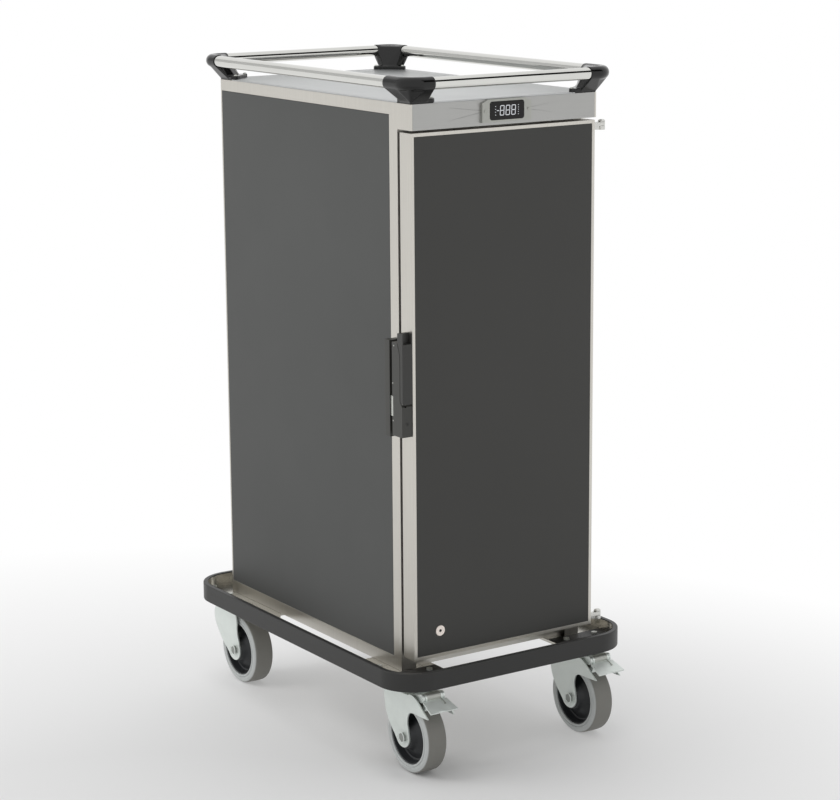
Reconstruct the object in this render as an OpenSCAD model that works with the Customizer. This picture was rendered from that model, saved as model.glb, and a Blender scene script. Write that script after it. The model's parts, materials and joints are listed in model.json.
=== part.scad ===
// Enclosed meal tray cart: an insulated steel cabinet with one door, on four swivel castors.
// X runs across the cart, Y from the door to the back, Z up from the floor. Lengths are in
// millimetres. Inside the modules Y is counted from the header front; cart() moves it all so
// that the origin lies on the floor under the middle of the whole cart.

/* [Cabinet] */
// Width of the cabinet
cab_w = 462; // [420:1:560]
// Depth of the cabinet from header front to back
cab_d = 768; // [640:1:930]
// Height of the cabinet over its base
cab_h = 1188; // [980:1:1430]
// Thickness of the side and back walls
wall_t = 36; // [28:1:44]
// Thickness of the insulated roof
roof_t = 80; // [60:1:100]
// Thickness of the floor, base frame included
floor_t = 52; // [44:1:70]
// Thickness of an outer shell at its rims
shell_t = 4.5; // [4:0.5:6]
// Depth of the pockets that the laminate panels fill
pocket_t = 3; // [1.5:0.5:3]
// Thickness of plain folded sheet
sheet_t = 1.5; // [1:0.1:2]
// Bare steel band under the side laminate and over it
band_h = 27; // [15:1:40]
// Bare steel strip in front of the side laminate
post_d = 30; // [20:1:40]
// Bare steel rim behind the side laminate
rear_rim = 5; // [3:0.5:12]
// Seam round each laminate panel
seam = 0.4; // [0.2:0.1:1]

/* [Header and display] */
// Height of the header over the door
hdr_h = 54.5; // [50:0.5:80]
// How far the header stands out over the door surround
hdr_d = 49.5; // [45:0.5:65]
// Dark slot between the header and the door
hdr_gap = 5.2; // [3:0.1:10]
// Thickness of the top deck
deck_t = 2; // [1.5:0.1:3]
// Width of the display bezel
bezel_w = 122; // [104:1:150]
// Height of the display bezel
bezel_h = 46; // [42:1:48]
// How far the bezel stands out
bezel_t = 6; // [4:0.5:9]
// Middle of the display from the cabinet's middle
bezel_x = -1; // [-60:1:60]
// Width of the display window
window_w = 86; // [76:1:92]
// Height of the display window
window_h = 38; // [34:1:39]
// Height of a lit digit
digit_h = 21; // [14:1:24]

/* [Door] */
// Thickness of the door
door_t = 40.5; // [36:0.5:42]
// Steel rim round the door's laminate
door_rim = 7; // [4:0.5:15]
// Door bottom over the cabinet's base
door_sill = 34.6; // [25:0.1:40]
// Gap between the door and the hinge side's face
hinge_edge = 3.2; // [2.5:0.1:6]
// Width of the door gasket
gasket_w = 14; // [10:1:16]
// Free play of the closed gasket
gasket_gap = 0.3; // [0.2:0.1:1]
// Radius of a hinge pin
pin_r = 4; // [3:0.5:5]
// Outer radius of a hinge knuckle
knuckle_r = 7.5; // [7:0.5:9]
// How far the hinge pins stand out beside the cabinet
pin_out = 22; // [20:1:26]
// Depth of the hinge pins behind the door's front
pin_y = 10; // [8:1:14]
// Running fit on a radius
fit = 0.05; // [0.02:0.01:0.1]
// Radius of the hold-open stud
stud_r = 11; // [8:0.5:14]
// Height of the latch pivot over the base
latch_z = 582; // [400:1:700]
// Width of the latch beside the door
latch_w = 25; // [24:0.5:30]

/* [Tray rack] */
// Distance from one tray level to the next
tray_pitch = 75; // [60:1:110]
// Width of a runner
runner_w = 31; // [20:1:40]
// Thickness of a runner
runner_t = 3; // [2:0.5:5]
// Side of a square rack post
rack_post = 12; // [10:1:20]

/* [Gallery] */
// Radius of the gallery tube
rail_r = 12.5; // [9:0.5:15]
// Wall of the gallery tube
rail_wall = 1.5; // [1:0.5:3]
// Height of the tube's middle over the deck
rail_z = 39; // [32:1:70]
// Radius of a gallery corner
rail_bend = 31; // [28:1:40]
// Distance from the cabinet's side to the tube's middle
rail_side = 15.5; // [14:0.5:24]
// Distance from the header front to the front tube's middle
rail_front = 20.5; // [15:0.5:30]
// Distance from the cabinet's back to the rear tube's middle
rail_back = 30; // [22:0.5:40]
// Wall of a corner sleeve
sleeve_wall = 1.5; // [1:0.25:4]
// Play of a tube in a corner sleeve
sleeve_play = 0.2; // [0.1:0.05:0.5]
// Height of a corner foot
foot_h = 7.5; // [6:0.5:14]
// Width of a foot's arms
foot_w = 20; // [16:1:26]

/* [Bumper] */
// How far the bumper stands out at the sides
bump_side = 69.5; // [60:0.5:90]
// How far the bumper stands out in front of the header
bump_front = 56; // [50:1:80]
// How far the bumper stands out behind
bump_back = 75; // [70:1:95]
// Height of the bumper profile
bump_h = 40; // [34:1:60]
// Outer radius of a bumper corner
bump_r = 82; // [60:1:95]
// Thickness of the bumper's outer wall
bump_wall = 6; // [4:0.5:9]
// Thickness of the flat bar that carries the bumper
carrier_t = 5; // [3:0.5:8]
// Height of the bumper's lips over that bar
lip_h = 2; // [1:0.5:4]

/* [Castors] */
// Radius of a wheel
wheel_r = 80; // [62:1:98]
// Width of a wheel
wheel_w = 50; // [36:1:56]
// Length of the wheel's hub
hub_l = 60; // [58:1:64]
// Depth of the tyre
tyre_t = 19.5; // [14:0.5:26]
// Height of the castor head over the wheel
head_h = 44; // [44:1:60]
// Distance from the swivel axis to the wheel axis
trail = 46; // [40:1:50]
// Distance from the cabinet's side in to the swivel axis
castor_in = 13.6; // [8:0.1:20]
// Front swivel axis behind the header front
castor_front = 61; // [58:1:80]
// Rear swivel axis behind the cabinet's back
castor_back = 6; // [0:1:6]
// Thickness of a fork cheek
cheek_t = 3; // [2:0.5:4]
// Radius of an axle bolt
axle_r = 6; // [5:0.5:7]
// Spacing of the castor bolts
bolt_grid = 76; // [74:1:78]
// Side of a castor's top plate
plate_w = 94; // [90:1:95]
// Thickness of a corner platform
platform_t = 6; // [4:0.5:8]
// Half width of a brake pedal
pedal_hw = 29; // [24:0.5:29]

/* [Hidden] */
$fn = 48;

// heights
wheel_z = wheel_r;
castor_h = 2 * wheel_r + head_h;
base_z = castor_h + platform_t;
top_z = base_z + cab_h;
body_z = top_z - deck_t;
hdr_z = top_z - hdr_h;
floor_z = base_z + floor_t;
roof_z = top_z - roof_t;
band_z = base_z + band_h;
door_z0 = base_z + door_sill;
door_z1 = hdr_z - hdr_gap;

// widths and depths
hw = cab_w / 2;
shell_x = hw - shell_t;
cav_x = hw - wall_t;
jamb_y = hdr_d;
cav_y0 = jamb_y + post_d;
cav_y1 = cab_d - wall_t;
shell_y = cab_d - shell_t;

// base frame
beam_w = wall_t - shell_t - sheet_t;
beam_wall = 2;
base_y = jamb_y + 15.5;

// door
door_x0 = -hw;
door_x1 = hw - hinge_edge;
pin_x = hw + pin_out;
gasket_t = jamb_y - door_t - gasket_gap;
stud_x = -hw + 64;
stud_z = door_z0 + 56;
stud_out = 0.8;

// hinges
knuckle_h = 8;
knuckle_gap = 0.5;
cap_h = 4.5;
hinge_low_z = door_z0 + 5.4;
hinge_high_z = door_z1 - 22.6;
strap_x = 5;
strap_len = 80;

// latch: its own heights are counted from the pivot
piv_z = base_z + latch_z;
piv_y = 8;
latch_x0 = -hw - latch_w;
lever_gap = 0.5;
layer_lever = [latch_x0 + 6.5, latch_x0 + 10];
layer_arm = [latch_x0 + 10.6, latch_x0 + 15];
latch_wall = 2;
latch_d = 38;
housing_z = [-69, 125];
keeper_z = [-74, 127];
keeper_t = 17;
keeper_lip = 2.5;
lever_t = 9.5;
lever_top = 145;
grip_z = 100;
grip_y = 18.5;
grip_pocket = [22, 11];
shelf_z = [35, 42];
shelf_y = 12;
tongue_x = [latch_x0 + latch_wall + 0.4, latch_x0 + 15];
crank_y = 21;
crank_z = 18;
crank_r = 2.5;
tongue_z = [-30, 12];
tongue_root = 8;
tongue_play = 0.4;
lock_z = -42;
lock_x = latch_x0 + 13.5;
latch_pin_r = 3;
spring_r = 3;
spring_z = -20.5;

// castors
cheek_x = hub_l / 2 + 0.6;
ear_x = 22.5;
ear_t = 4;
cast_x = hw - castor_in;
front_y = castor_front;
rear_y = cab_d + castor_back;
plate_t = 6;
race_r = 34;
race_t = 8;
crown_z = castor_h - 34;
crown_t = 6;
cup_r = 40;
kingpin_r = 6;
rim_r = wheel_r - tyre_t;
bearing_r = 16;
bearing_x = hub_l / 2 - 7;
sleeve_r = 9;
pedal_y = -57;
pedal_z = castor_h - 26;
pedal_pin_r = 3;
roll_r = 9.5;
pedal_reach = 47;
pedal_drop = 21;
shoe_r = 4;
shoe_gap = 1.7;
shoe_y = pedal_y + 7.6;
shoe = [shoe_y, wheel_z + sqrt(pow(wheel_r + shoe_r + shoe_gap, 2) - pow(shoe_y, 2))];

// bumper
bump_z = base_z - 15;
bump_x = hw + bump_side;
ring_t = bump_wall + carrier_t;

// gallery
rail_h = top_z + rail_z;
rail_x = hw + rail_side;
rail_y0 = -rail_front;
rail_y1 = cab_d + rail_back;
front_sleeves = [54, 78];
rear_sleeves = [48, 54];

// the whole cart stands with its middle over the origin
cart_y = -(front_y - trail + pedal_y - pedal_reach + cab_d + bump_back) / 2;

steel = [0.80, 0.79, 0.77];
bright = [0.87, 0.88, 0.88];
laminate = [0.37, 0.375, 0.37];
door_grey = [0.25, 0.245, 0.23];
black = [0.13, 0.13, 0.13];
zinc = [0.78, 0.80, 0.80];
tyre_grey = [0.62, 0.63, 0.62];
foam = [0.88, 0.85, 0.72];

// ---------------------------------------------------------------- shared shapes

module cart() {
    translate([0, cart_y, 0]) children();
}

// from a start over a length
function span(start, length) = [start, start + length];

// a block between two corners
module box(x, y, z) {
    translate([x[0], y[0], z[0]]) cube([x[1] - x[0], y[1] - y[0], z[1] - z[0]]);
}

// the same thing on both sides of the cart
module both() {
    children();
    mirror([1, 0, 0]) children();
}

// an outline drawn in Y and Z, given a thickness along X
module along_x(x) {
    translate([x[0], 0, 0]) rotate([90, 0, 90]) linear_extrude(x[1] - x[0]) children();
}

// an outline drawn in X and Z, given a thickness along Y
module along_y(y) {
    translate([0, y[1], 0]) rotate([90, 0, 0]) linear_extrude(y[1] - y[0]) children();
}

// an outline drawn in X and Y, given a thickness along Z
module along_z(z) {
    translate([0, 0, z[0]]) linear_extrude(z[1] - z[0]) children();
}

module rod_x(r, x, y, z) {
    translate([x[0], y, z]) rotate([0, 90, 0]) cylinder(r = r, h = x[1] - x[0]);
}

module rod_y(r, x, y, z) {
    translate([x, y[0], z]) rotate([-90, 0, 0]) cylinder(r = r, h = y[1] - y[0]);
}

module rod_z(r, x, y, z) {
    translate([x, y, z[0]]) cylinder(r = r, h = z[1] - z[0]);
}

// a rectangle with round corners, between two corners
module round_rect(x, y, r) {
    translate([x[0] + r, y[0]]) square([x[1] - x[0] - 2 * r, y[1] - y[0]]);
    translate([x[0], y[0] + r]) square([x[1] - x[0], y[1] - y[0] - 2 * r]);
    for (cx = [x[0] + r, x[1] - r], cy = [y[0] + r, y[1] - r]) translate([cx, cy]) circle(r);
}

// points on an arc
function arc(c, r, a0, a1, n) =
    [for (i = [0:n]) c + r * [cos(a0 + (a1 - a0) * i / n), sin(a0 + (a1 - a0) * i / n)]];

// corner cutting: each pass rounds an outline further; a point given twice stays sharper
function soften(p, passes) =
    passes == 0 ? p :
    soften([for (i = [0:len(p) - 1]) each [
        p[i] * 0.75 + p[(i + 1) % len(p)] * 0.25,
        p[i] * 0.25 + p[(i + 1) % len(p)] * 0.75
    ]], passes - 1);

// a flat panel with a gap all round it
module panel(x, y, z, gx, gy, gz) {
    box([x[0] + gx, x[1] - gx], [y[0] + gy, y[1] - gy], [z[0] + gz, z[1] - gz]);
}

// ---------------------------------------------------------------- base

module beam_x(x, y, z) {
    difference() {
        box(x, y, z);
        box([x[0] - 1, x[1] + 1], [y[0] + beam_wall, y[1] - beam_wall],
            [z[0] + beam_wall, z[1] - beam_wall]);
    }
}

module beam_y(x, y, z) {
    difference() {
        box(x, y, z);
        box([x[0] + beam_wall, x[1] - beam_wall], [y[0] - 1, y[1] + 1],
            [z[0] + beam_wall, z[1] - beam_wall]);
    }
}

module base_frame() {
    inner_x = shell_x - beam_w;
    color(steel) difference() {
        base_beams(inner_x);
        for (y = [front_y, rear_y]) castor_spots(y) bolt_spots() rod_z(9, 0, 0, [base_z - 1, base_z + 8]);
    }
}

module base_beams(inner_x) {
    union() {
        beam_x([-shell_x, shell_x], [base_y, base_y + beam_w], [base_z, band_z]);
        beam_x([-shell_x, shell_x], [shell_y - beam_w, shell_y], [base_z, band_z]);
        both() beam_y([inner_x, shell_x], [base_y + beam_w, shell_y - beam_w], [base_z, band_z]);
        box([-inner_x, inner_x], [base_y + beam_w, shell_y - beam_w], [base_z + 1, base_z + 1 + sheet_t]);
    }
}

module castor_spots(axis_y) {
    for (sx = [-1, 1]) translate([sx * cast_x, axis_y, 0]) children();
}

module bolt_spots() {
    for (dx = [-1, 1], dy = [-1, 1]) translate([dx, dy] * bolt_grid / 2) children();
}

module ring_outline(inset) {
    round_rect([-bump_x + inset, bump_x - inset], [-bump_front + inset, cab_d + bump_back - inset],
               bump_r - inset);
}

module castor_platforms() {
    inner = cast_x - plate_w / 2 - 23.4;
    front_end = front_y + 104;
    rear_end = rear_y - 226;
    far = 2 * bump_x;
    color(bright) difference() {
        along_z([castor_h, base_z]) intersection() {
            ring_outline(ring_t);
            both() {
                translate([inner, -far]) square([far, far + front_end]);
                polygon([[inner, rear_end], [hw, rear_end], [hw + 60, rear_end - 98],
                         [far, rear_end - 98], [far, 2 * cab_d], [inner, 2 * cab_d]]);
            }
        }
        for (y = [front_y, rear_y]) castor_spots(y) bolt_spots()
            rod_z(4, 0, 0, [castor_h - 1, base_z + 1]);
    }
}

module castor_bolts() {
    color(zinc) for (y = [front_y, rear_y]) castor_spots(y) bolt_spots() {
        rod_z(4, 0, 0, [castor_h - plate_t - 8, base_z]);
        translate([0, 0, base_z]) cylinder(r = 7, h = 5.5, $fn = 6);
        translate([0, 0, castor_h - plate_t - 6.5]) difference() {
            cylinder(r = 7, h = 6.5, $fn = 6);
            translate([0, 0, -1]) cylinder(r = 4, h = 9);
        }
    }
}

module castor_heads() {
    color(zinc) for (y = [front_y, rear_y]) castor_spots(y) {
        difference() {
            union() {
                along_z([castor_h - plate_t, castor_h])
                    round_rect([-plate_w / 2, plate_w / 2], [-plate_w / 2, plate_w / 2], 20);
                rod_z(race_r, 0, 0, [castor_h - plate_t - race_t, castor_h - plate_t]);
            }
            bolt_spots() rod_z(4, 0, 0, [castor_h - plate_t - 1, castor_h + 1]);
            rod_z(kingpin_r, 0, 0, [castor_h - plate_t - race_t - 1, castor_h - plate_t]);
        }
        rod_z(kingpin_r, 0, 0, [crown_z - 6, castor_h - plate_t]);
        translate([0, 0, crown_z - 6.5]) difference() {
            cylinder(r = 11, h = 6, $fn = 6);
            translate([0, 0, 0.5]) cylinder(r = kingpin_r, h = 7);
        }
    }
}

module bumper_carrier() {
    color(bright) difference() {
        along_z([bump_z + lip_h, bump_z + bump_h - lip_h]) ring_outline(bump_wall);
        along_z([bump_z, bump_z + bump_h]) ring_outline(ring_t);
    }
}

module bumper() {
    color(black) difference() {
        along_z([bump_z, bump_z + bump_h]) ring_outline(0);
        along_z([bump_z - 1, bump_z + bump_h + 1]) ring_outline(ring_t);
        along_z([bump_z + lip_h, bump_z + bump_h - lip_h]) ring_outline(bump_wall);
    }
}

// ---------------------------------------------------------------- cabinet

side_panel_y = [cav_y0, cab_d - rear_rim];
side_panel_z = [band_z, top_z - band_h];
back_panel_x = [-shell_x + 22, shell_x - 22];

module side_shell() {
    difference() {
        along_x([shell_x, hw]) polygon([
            [jamb_y, base_z], [cab_d, base_z], [cab_d, body_z], [0, body_z],
            [0, hdr_z], [jamb_y, hdr_z]
        ]);
        box([hw - pocket_t, hw + 1], side_panel_y, side_panel_z);
    }
}

module side_shell_left() {
    color(steel) mirror([1, 0, 0]) side_shell();
}

module side_shell_right() {
    color(steel) side_shell();
}

module back_shell() {
    color(steel) difference() {
        box([-shell_x, shell_x], [shell_y, cab_d], [base_z, body_z]);
        box(back_panel_x, [cab_d - pocket_t, cab_d + 1], side_panel_z);
    }
}

module laminate_panels() {
    color(laminate) {
        both() panel([hw - pocket_t, hw], side_panel_y, side_panel_z, 0, seam, seam);
        panel(back_panel_x, [cab_d - pocket_t, cab_d], side_panel_z, seam, 0, seam);
    }
}

// the foot of a gallery corner, drawn for the corner at the origin with the deck in +X and +Y
foot_arms = [55, 50];

boss_r = 7;
// how far the web's lower end stays short of the foot's arms
web_in = 14;

module foot_outline() {
    polygon([[0, 0], [foot_arms[0], 0], [foot_arms[0], foot_w], [foot_w, foot_arms[1]], [0, foot_arms[1]]]);
    translate([foot_arms[0], foot_w / 2]) circle(boss_r);
    translate([foot_w / 2, foot_arms[1]]) circle(boss_r);
}

// children stand at the four deck corners, turned so that the deck lies in +X and +Y
module deck_corners() {
    for (sx = [0, 1], sy = [0, 1])
        translate([sx == 0 ? -hw : hw, sy == 0 ? 0 : cab_d, 0])
            mirror([sx, 0, 0]) mirror([0, sy, 0]) children();
}

module top_deck() {
    color(bright) difference() {
        box([-hw, hw], [0, cab_d], [body_z, top_z]);
        deck_corners() along_z([body_z - 1, top_z + 1]) foot_outline();
    }
}

module_w = 70;
module_h = 30;
module_d = 28;
display_z = hdr_z + 5 + bezel_h / 2 + 1;

module header() {
    color(steel) difference() {
        union() {
            box([-shell_x, shell_x], [0, sheet_t], [hdr_z, body_z]);
            box([-shell_x, shell_x], [sheet_t, jamb_y], [hdr_z, hdr_z + sheet_t]);
        }
        box([bezel_x - module_w / 2 - 1, bezel_x + module_w / 2 + 1], [-1, sheet_t + 1],
            [display_z - module_h / 2 - 1, display_z + module_h / 2 + 1]);
        bezel_screw_spots() rod_y(1.5, 0, [-1, sheet_t + 1], 0);
    }
}

module front_frame() {
    liner_x = cav_x + sheet_t;
    color(steel) {
        both() {
            box([cav_x, shell_x], [jamb_y, jamb_y + sheet_t], [base_z, body_z]);
            box([cav_x, liner_x], [jamb_y + sheet_t, cav_y0], [floor_z, roof_z]);
        }
        box([-cav_x, cav_x], [jamb_y, jamb_y + sheet_t], [band_z, floor_z]);
        box([-liner_x, liner_x], [jamb_y + sheet_t, cav_y0], [floor_z - sheet_t, floor_z]);
        difference() {
            box([-cav_x, cav_x], [jamb_y, jamb_y + sheet_t], [roof_z, body_z]);
            rod_y(lead_r + 1, bezel_x, [jamb_y - 1, jamb_y + sheet_t + 1], display_z);
        }
        box([-liner_x, liner_x], [jamb_y + sheet_t, cav_y0], [roof_z, roof_z + sheet_t]);
    }
}

module insulation_boards() {
    liner_x = cav_x + sheet_t;
    y0 = jamb_y + sheet_t;
    color(foam) {
        both() box([liner_x, shell_x], [y0, shell_y], [band_z, roof_z + sheet_t]);
        box([-liner_x, liner_x], [cav_y1 + sheet_t, shell_y], [band_z, roof_z + sheet_t]);
        box([-liner_x, liner_x], [y0, cav_y1 + sheet_t], [band_z, floor_z - sheet_t]);
        difference() {
            box([-shell_x, shell_x], [y0, shell_y], [roof_z + sheet_t, body_z]);
            probe_run(lead_r + 0.3);
        }
    }
}

module liner_sheets() {
    liner_x = cav_x + sheet_t;
    color(bright) {
        both() box([cav_x, liner_x], [cav_y0, cav_y1], [floor_z, roof_z]);
        box([-liner_x, liner_x], [cav_y1, cav_y1 + sheet_t], [floor_z, roof_z]);
        box([-liner_x, liner_x], [cav_y0, cav_y1 + sheet_t], [floor_z - sheet_t, floor_z]);
        difference() {
            box([-liner_x, liner_x], [cav_y0, cav_y1 + sheet_t], [roof_z, roof_z + sheet_t]);
            probe_run(lead_r + 0.3);
        }
    }
}

// ---------------------------------------------------------------- tray rack

post_spots = [cav_y0 + 30, cav_y1 - 30 - rack_post];
post_in = cav_x - rack_post;
first_level = floor_z + 50;
levels = floor((roof_z - 90 - first_level) / tray_pitch) + 1;

module rack_posts() {
    color(steel) both() for (y = post_spots)
        box([post_in, cav_x], [y, y + rack_post], [floor_z, roof_z]);
}

module tray_runners() {
    color(bright) both() for (i = [0:levels - 1])
        box([post_in - runner_w, post_in], [cav_y0 + 10, cav_y1 - 10],
            span(first_level + i * tray_pitch, runner_t));
}

// ---------------------------------------------------------------- thermometer

lead_r = 1.5;
probe_y = cav_y0 + 60;
digit_w = digit_h * 0.5;
digit_step = digit_w * 1.38;
seg_t = 2.2;

module bezel_screw_spots() {
    for (dx = [-0.5, 0.5] * (bezel_w - 15)) translate([bezel_x + dx, 0, display_z]) children();
}

module window_outline(inset) {
    translate([bezel_x, display_z]) round_rect(
        [-window_w / 2 + inset, window_w / 2 - inset], [-window_h / 2 + inset, window_h / 2 - inset], 6 - inset);
}

module display_bezel() {
    bevel = [17, 6.5];
    color(zinc) {
        difference() {
            along_y([-bezel_t, 0]) translate([bezel_x, display_z]) polygon([
                [-bezel_w / 2, -bezel_h / 2], [bezel_w / 2, -bezel_h / 2],
                [bezel_w / 2, bezel_h / 2 - bevel[1]], [bezel_w / 2 - bevel[0], bezel_h / 2],
                [-bezel_w / 2 + bevel[0], bezel_h / 2], [-bezel_w / 2, bezel_h / 2 - bevel[1]]
            ]);
            along_y([-bezel_t - 1, -bezel_t + 2]) window_outline(0);
            bezel_screw_spots() rod_y(1.5, 0, [-bezel_t - 1, 1], 0);
        }
        bezel_screw_spots() {
            rod_y(2.8, 0, [-bezel_t - 1.2, -bezel_t], 0);
            rod_y(1.5, 0, [-bezel_t, sheet_t + 3], 0);
        }
    }
}

module display_window() {
    color(black) along_y([-bezel_t - 0.3, -bezel_t + 2]) window_outline(0.2);
}

// one lit bar lying flat
module stroke_h(dx, dz) {
    box([dx - digit_w / 2 + seg_t * 0.6, dx + digit_w / 2 - seg_t * 0.6], [0, 0.3], span(dz - seg_t / 2, seg_t));
}

module digit_eight(dx) {
    for (dz = [-1, 0, 1] * (digit_h - seg_t) / 2) stroke_h(dx, dz);
    for (sx = [-1, 1], sz = [-1, 1])
        translate([dx + sx * (digit_w - seg_t) / 2, 0, sz * digit_h / 4])
            box([-seg_t / 2, seg_t / 2], [0, 0.3], [-digit_h / 4 + seg_t * 0.6, digit_h / 4 - seg_t * 0.6]);
}

module display_digits() {
    color([0.95, 0.97, 1.0]) translate([bezel_x + 5, -bezel_t - 0.6, display_z]) {
        for (i = [-1, 0, 1]) digit_eight(i * digit_step + 4);
        stroke_h(-2 * digit_step + 6, 0);
        for (dz = [-6, 6]) stroke_h(-2.7 * digit_step, dz);
    }
}

module thermometer_module() {
    color(black) box([bezel_x - module_w / 2, bezel_x + module_w / 2], [0, module_d],
                     [display_z - module_h / 2, display_z + module_h / 2]);
}

// the lead runs back over the ceiling, then down through it
module probe_run(r) {
    rod_y(r, bezel_x, [module_d, probe_y], display_z);
    translate([bezel_x, probe_y, display_z]) sphere(r);
    rod_z(r, bezel_x, probe_y, [roof_z - 2, display_z]);
}

module temperature_probe() {
    color(zinc) {
        probe_run(lead_r);
        rod_z(8, bezel_x, probe_y, [roof_z - 2, roof_z]);
        rod_z(3, bezel_x, probe_y, [roof_z - 30, roof_z - 2]);
    }
}

// ---------------------------------------------------------------- gallery

module rail(length) {
    difference() {
        cylinder(r = rail_r, h = length);
        translate([0, 0, -1]) cylinder(r = rail_r - rail_wall, h = length + 2);
    }
}

module gallery_tubes() {
    color(bright) {
        both() translate([rail_x, rail_y0 + rail_bend, rail_h]) rotate([-90, 0, 0])
            rail(rail_y1 - rail_y0 - 2 * rail_bend);
        for (y = [rail_y0, rail_y1]) translate([-rail_x + rail_bend, y, rail_h]) rotate([0, 90, 0])
            rail(2 * (rail_x - rail_bend));
    }
}

// drawn for the corner whose deck lies in +X and +Y; out is how far the front or rear tube stands
// out of it, and sleeves are the lengths along X and Y from the ring's own corner
module gallery_corner(out, sleeves) {
    r = rail_r + sleeve_play + sleeve_wall;
    bend = [rail_bend - rail_side, rail_bend - out, rail_h];
    ends = [sleeves[0] - rail_side, sleeves[1] - out];
    web_r = r - 1;
    web_z = rail_h - 1.5;
    web_end = 1.5;
    web_foot = foot_arms - [web_in, web_in];
    difference() {
        union() {
            translate(bend) rotate([0, 0, 180]) rotate_extrude(angle = 90)
                translate([rail_bend, 0]) circle(r);
            rod_x(r, [bend[0], ends[0]], -out, rail_h);
            rod_y(r, -rail_side, [bend[1], ends[1]], rail_h);
            hull() {
                rod_x(web_r, [bend[0], ends[0] - web_end], -out, web_z, $fn = 24);
                rod_y(web_r, -rail_side, [bend[1], ends[1] - web_end], web_z, $fn = 24);
                rod_z(web_r - 1.5, bend[0] - rail_bend * cos(45), bend[1] - rail_bend * sin(45),
                      [web_z - web_r / 2, web_z], $fn = 24);
                along_z([top_z + 1, top_z + 2]) polygon([
                    [0, 0], [web_foot[0], 0], [web_foot[0], foot_w],
                    [foot_w, web_foot[1]], [0, web_foot[1]]
                ]);
            }
            along_z([body_z, top_z + foot_h]) foot_outline();
        }
        rod_x(rail_r + sleeve_play, [bend[0], max(ends[0], foot_arms[0]) + 1], -out, rail_h);
        rod_y(rail_r + sleeve_play, -rail_side, [bend[1], max(ends[1], foot_arms[1]) + 1], rail_h);
        foot_screw_spots() rod_z(2, 0, 0, [body_z - 1, top_z + foot_h + 1]);
    }
}

module foot_screw_spots() {
    translate([foot_arms[0] + 1.5, foot_w / 2, 0]) children();
    translate([foot_w / 2, foot_arms[1] + 1.5, 0]) children();
}

module gallery_corners() {
    color(black) {
        both() translate([-hw, 0, 0]) gallery_corner(rail_front, front_sleeves);
        both() translate([-hw, cab_d, 0]) mirror([0, 1, 0]) gallery_corner(rail_back, rear_sleeves);
    }
}

module gallery_screws() {
    color(zinc) deck_corners() foot_screw_spots() {
        rod_z(4, 0, 0, span(top_z + foot_h, 2.5));
        rod_z(2, 0, 0, [body_z, top_z + foot_h]);
    }
}

// ---------------------------------------------------------------- hinges

module knuckle(z, bore) {
    difference() {
        rod_z(knuckle_r, pin_x, pin_y, z);
        rod_z(bore, pin_x, pin_y, z + [-1, 1]);
    }
}

// cabinet half of a hinge whose knuckle starts at z; the strap hangs from drop to the knuckle's top
module hinge_bracket(z, strap_z) {
    screws = [pin_y + 40, pin_y + 68];
    difference() {
        union() {
            box([hw, hw + strap_x], [pin_y + 2, pin_y + strap_len], strap_z);
            along_z([z, z + knuckle_h]) polygon([
                [hw, pin_y + 2], [hw, pin_y + 10], [hw + strap_x, pin_y + 10],
                [pin_x, pin_y + knuckle_r], [pin_x, pin_y - knuckle_r + 2], [hw + strap_x, pin_y + 2]
            ]);
            rod_z(knuckle_r, pin_x, pin_y, [z, z + knuckle_h]);
        }
        rod_z(pin_r, pin_x, pin_y, [z - 1, z + knuckle_h + 1]);
    }
    for (y = screws) rod_x(4, [hw + strap_x, hw + strap_x + 1.5], y, (strap_z[0] + strap_z[1]) / 2);
}

module hinge_brackets() {
    color(bright) {
        hinge_bracket(hinge_low_z, [hinge_low_z - 12, hinge_low_z + knuckle_h]);
        hinge_bracket(hinge_high_z, [hinge_high_z - 12, hinge_high_z + knuckle_h]);
    }
}

module hinge_pins() {
    color(bright) for (z = [hinge_low_z, hinge_high_z]) {
        top = z + 2 * knuckle_h + knuckle_gap + 0.3;
        rod_z(pin_r, pin_x, pin_y, [z, top]);
        rod_z(knuckle_r, pin_x, pin_y, [top, top + cap_h - 2]);
        translate([pin_x, pin_y, top + cap_h - 2]) cylinder(r1 = knuckle_r, r2 = knuckle_r - 2.5, h = 2);
    }
}

module door_hinge_arms() {
    color(bright) for (z = [hinge_low_z, hinge_high_z]) {
        level = span(z + knuckle_h + knuckle_gap, knuckle_h);
        difference() {
            union() {
                along_z(level) polygon([
                    [door_x1, 1], [pin_x, pin_y - knuckle_r], [pin_x, pin_y + knuckle_r - 2],
                    [door_x1 + 8, pin_y + 2], [door_x1, pin_y + 8]
                ]);
                rod_z(knuckle_r, pin_x, pin_y, level);
            }
            rod_z(pin_r + fit, pin_x, pin_y, level + [-1, 1]);
        }
    }
}

// ---------------------------------------------------------------- door

door_x = [door_x0, door_x1];
door_z = [door_z0, door_z1];
door_in = [sheet_t, -sheet_t];
door_panel_x = door_x + [door_rim, -door_rim];
door_panel_z = door_z + [door_rim, -door_rim];

module door_skin() {
    color(steel) difference() {
        box(door_x, [0, door_t], door_z);
        box(door_x + door_in, [shell_t, door_t + 1], door_z + door_in);
        box(door_panel_x, [-1, pocket_t], door_panel_z);
        rod_y(stud_r + seam, stud_x, [-1, pocket_t + 1], stud_z);
    }
}

module door_laminate() {
    color(door_grey) difference() {
        panel(door_panel_x, [0, pocket_t], door_panel_z, seam, 0, seam);
        rod_y(stud_r + seam, stud_x, [-1, pocket_t + 1], stud_z);
    }
}

module door_insulation() {
    color(foam) box(door_x + door_in, [shell_t, door_t - sheet_t], door_z + door_in);
}

module door_liner() {
    color(bright) box(door_x + door_in, [door_t - sheet_t, door_t], door_z + door_in);
}

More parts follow.
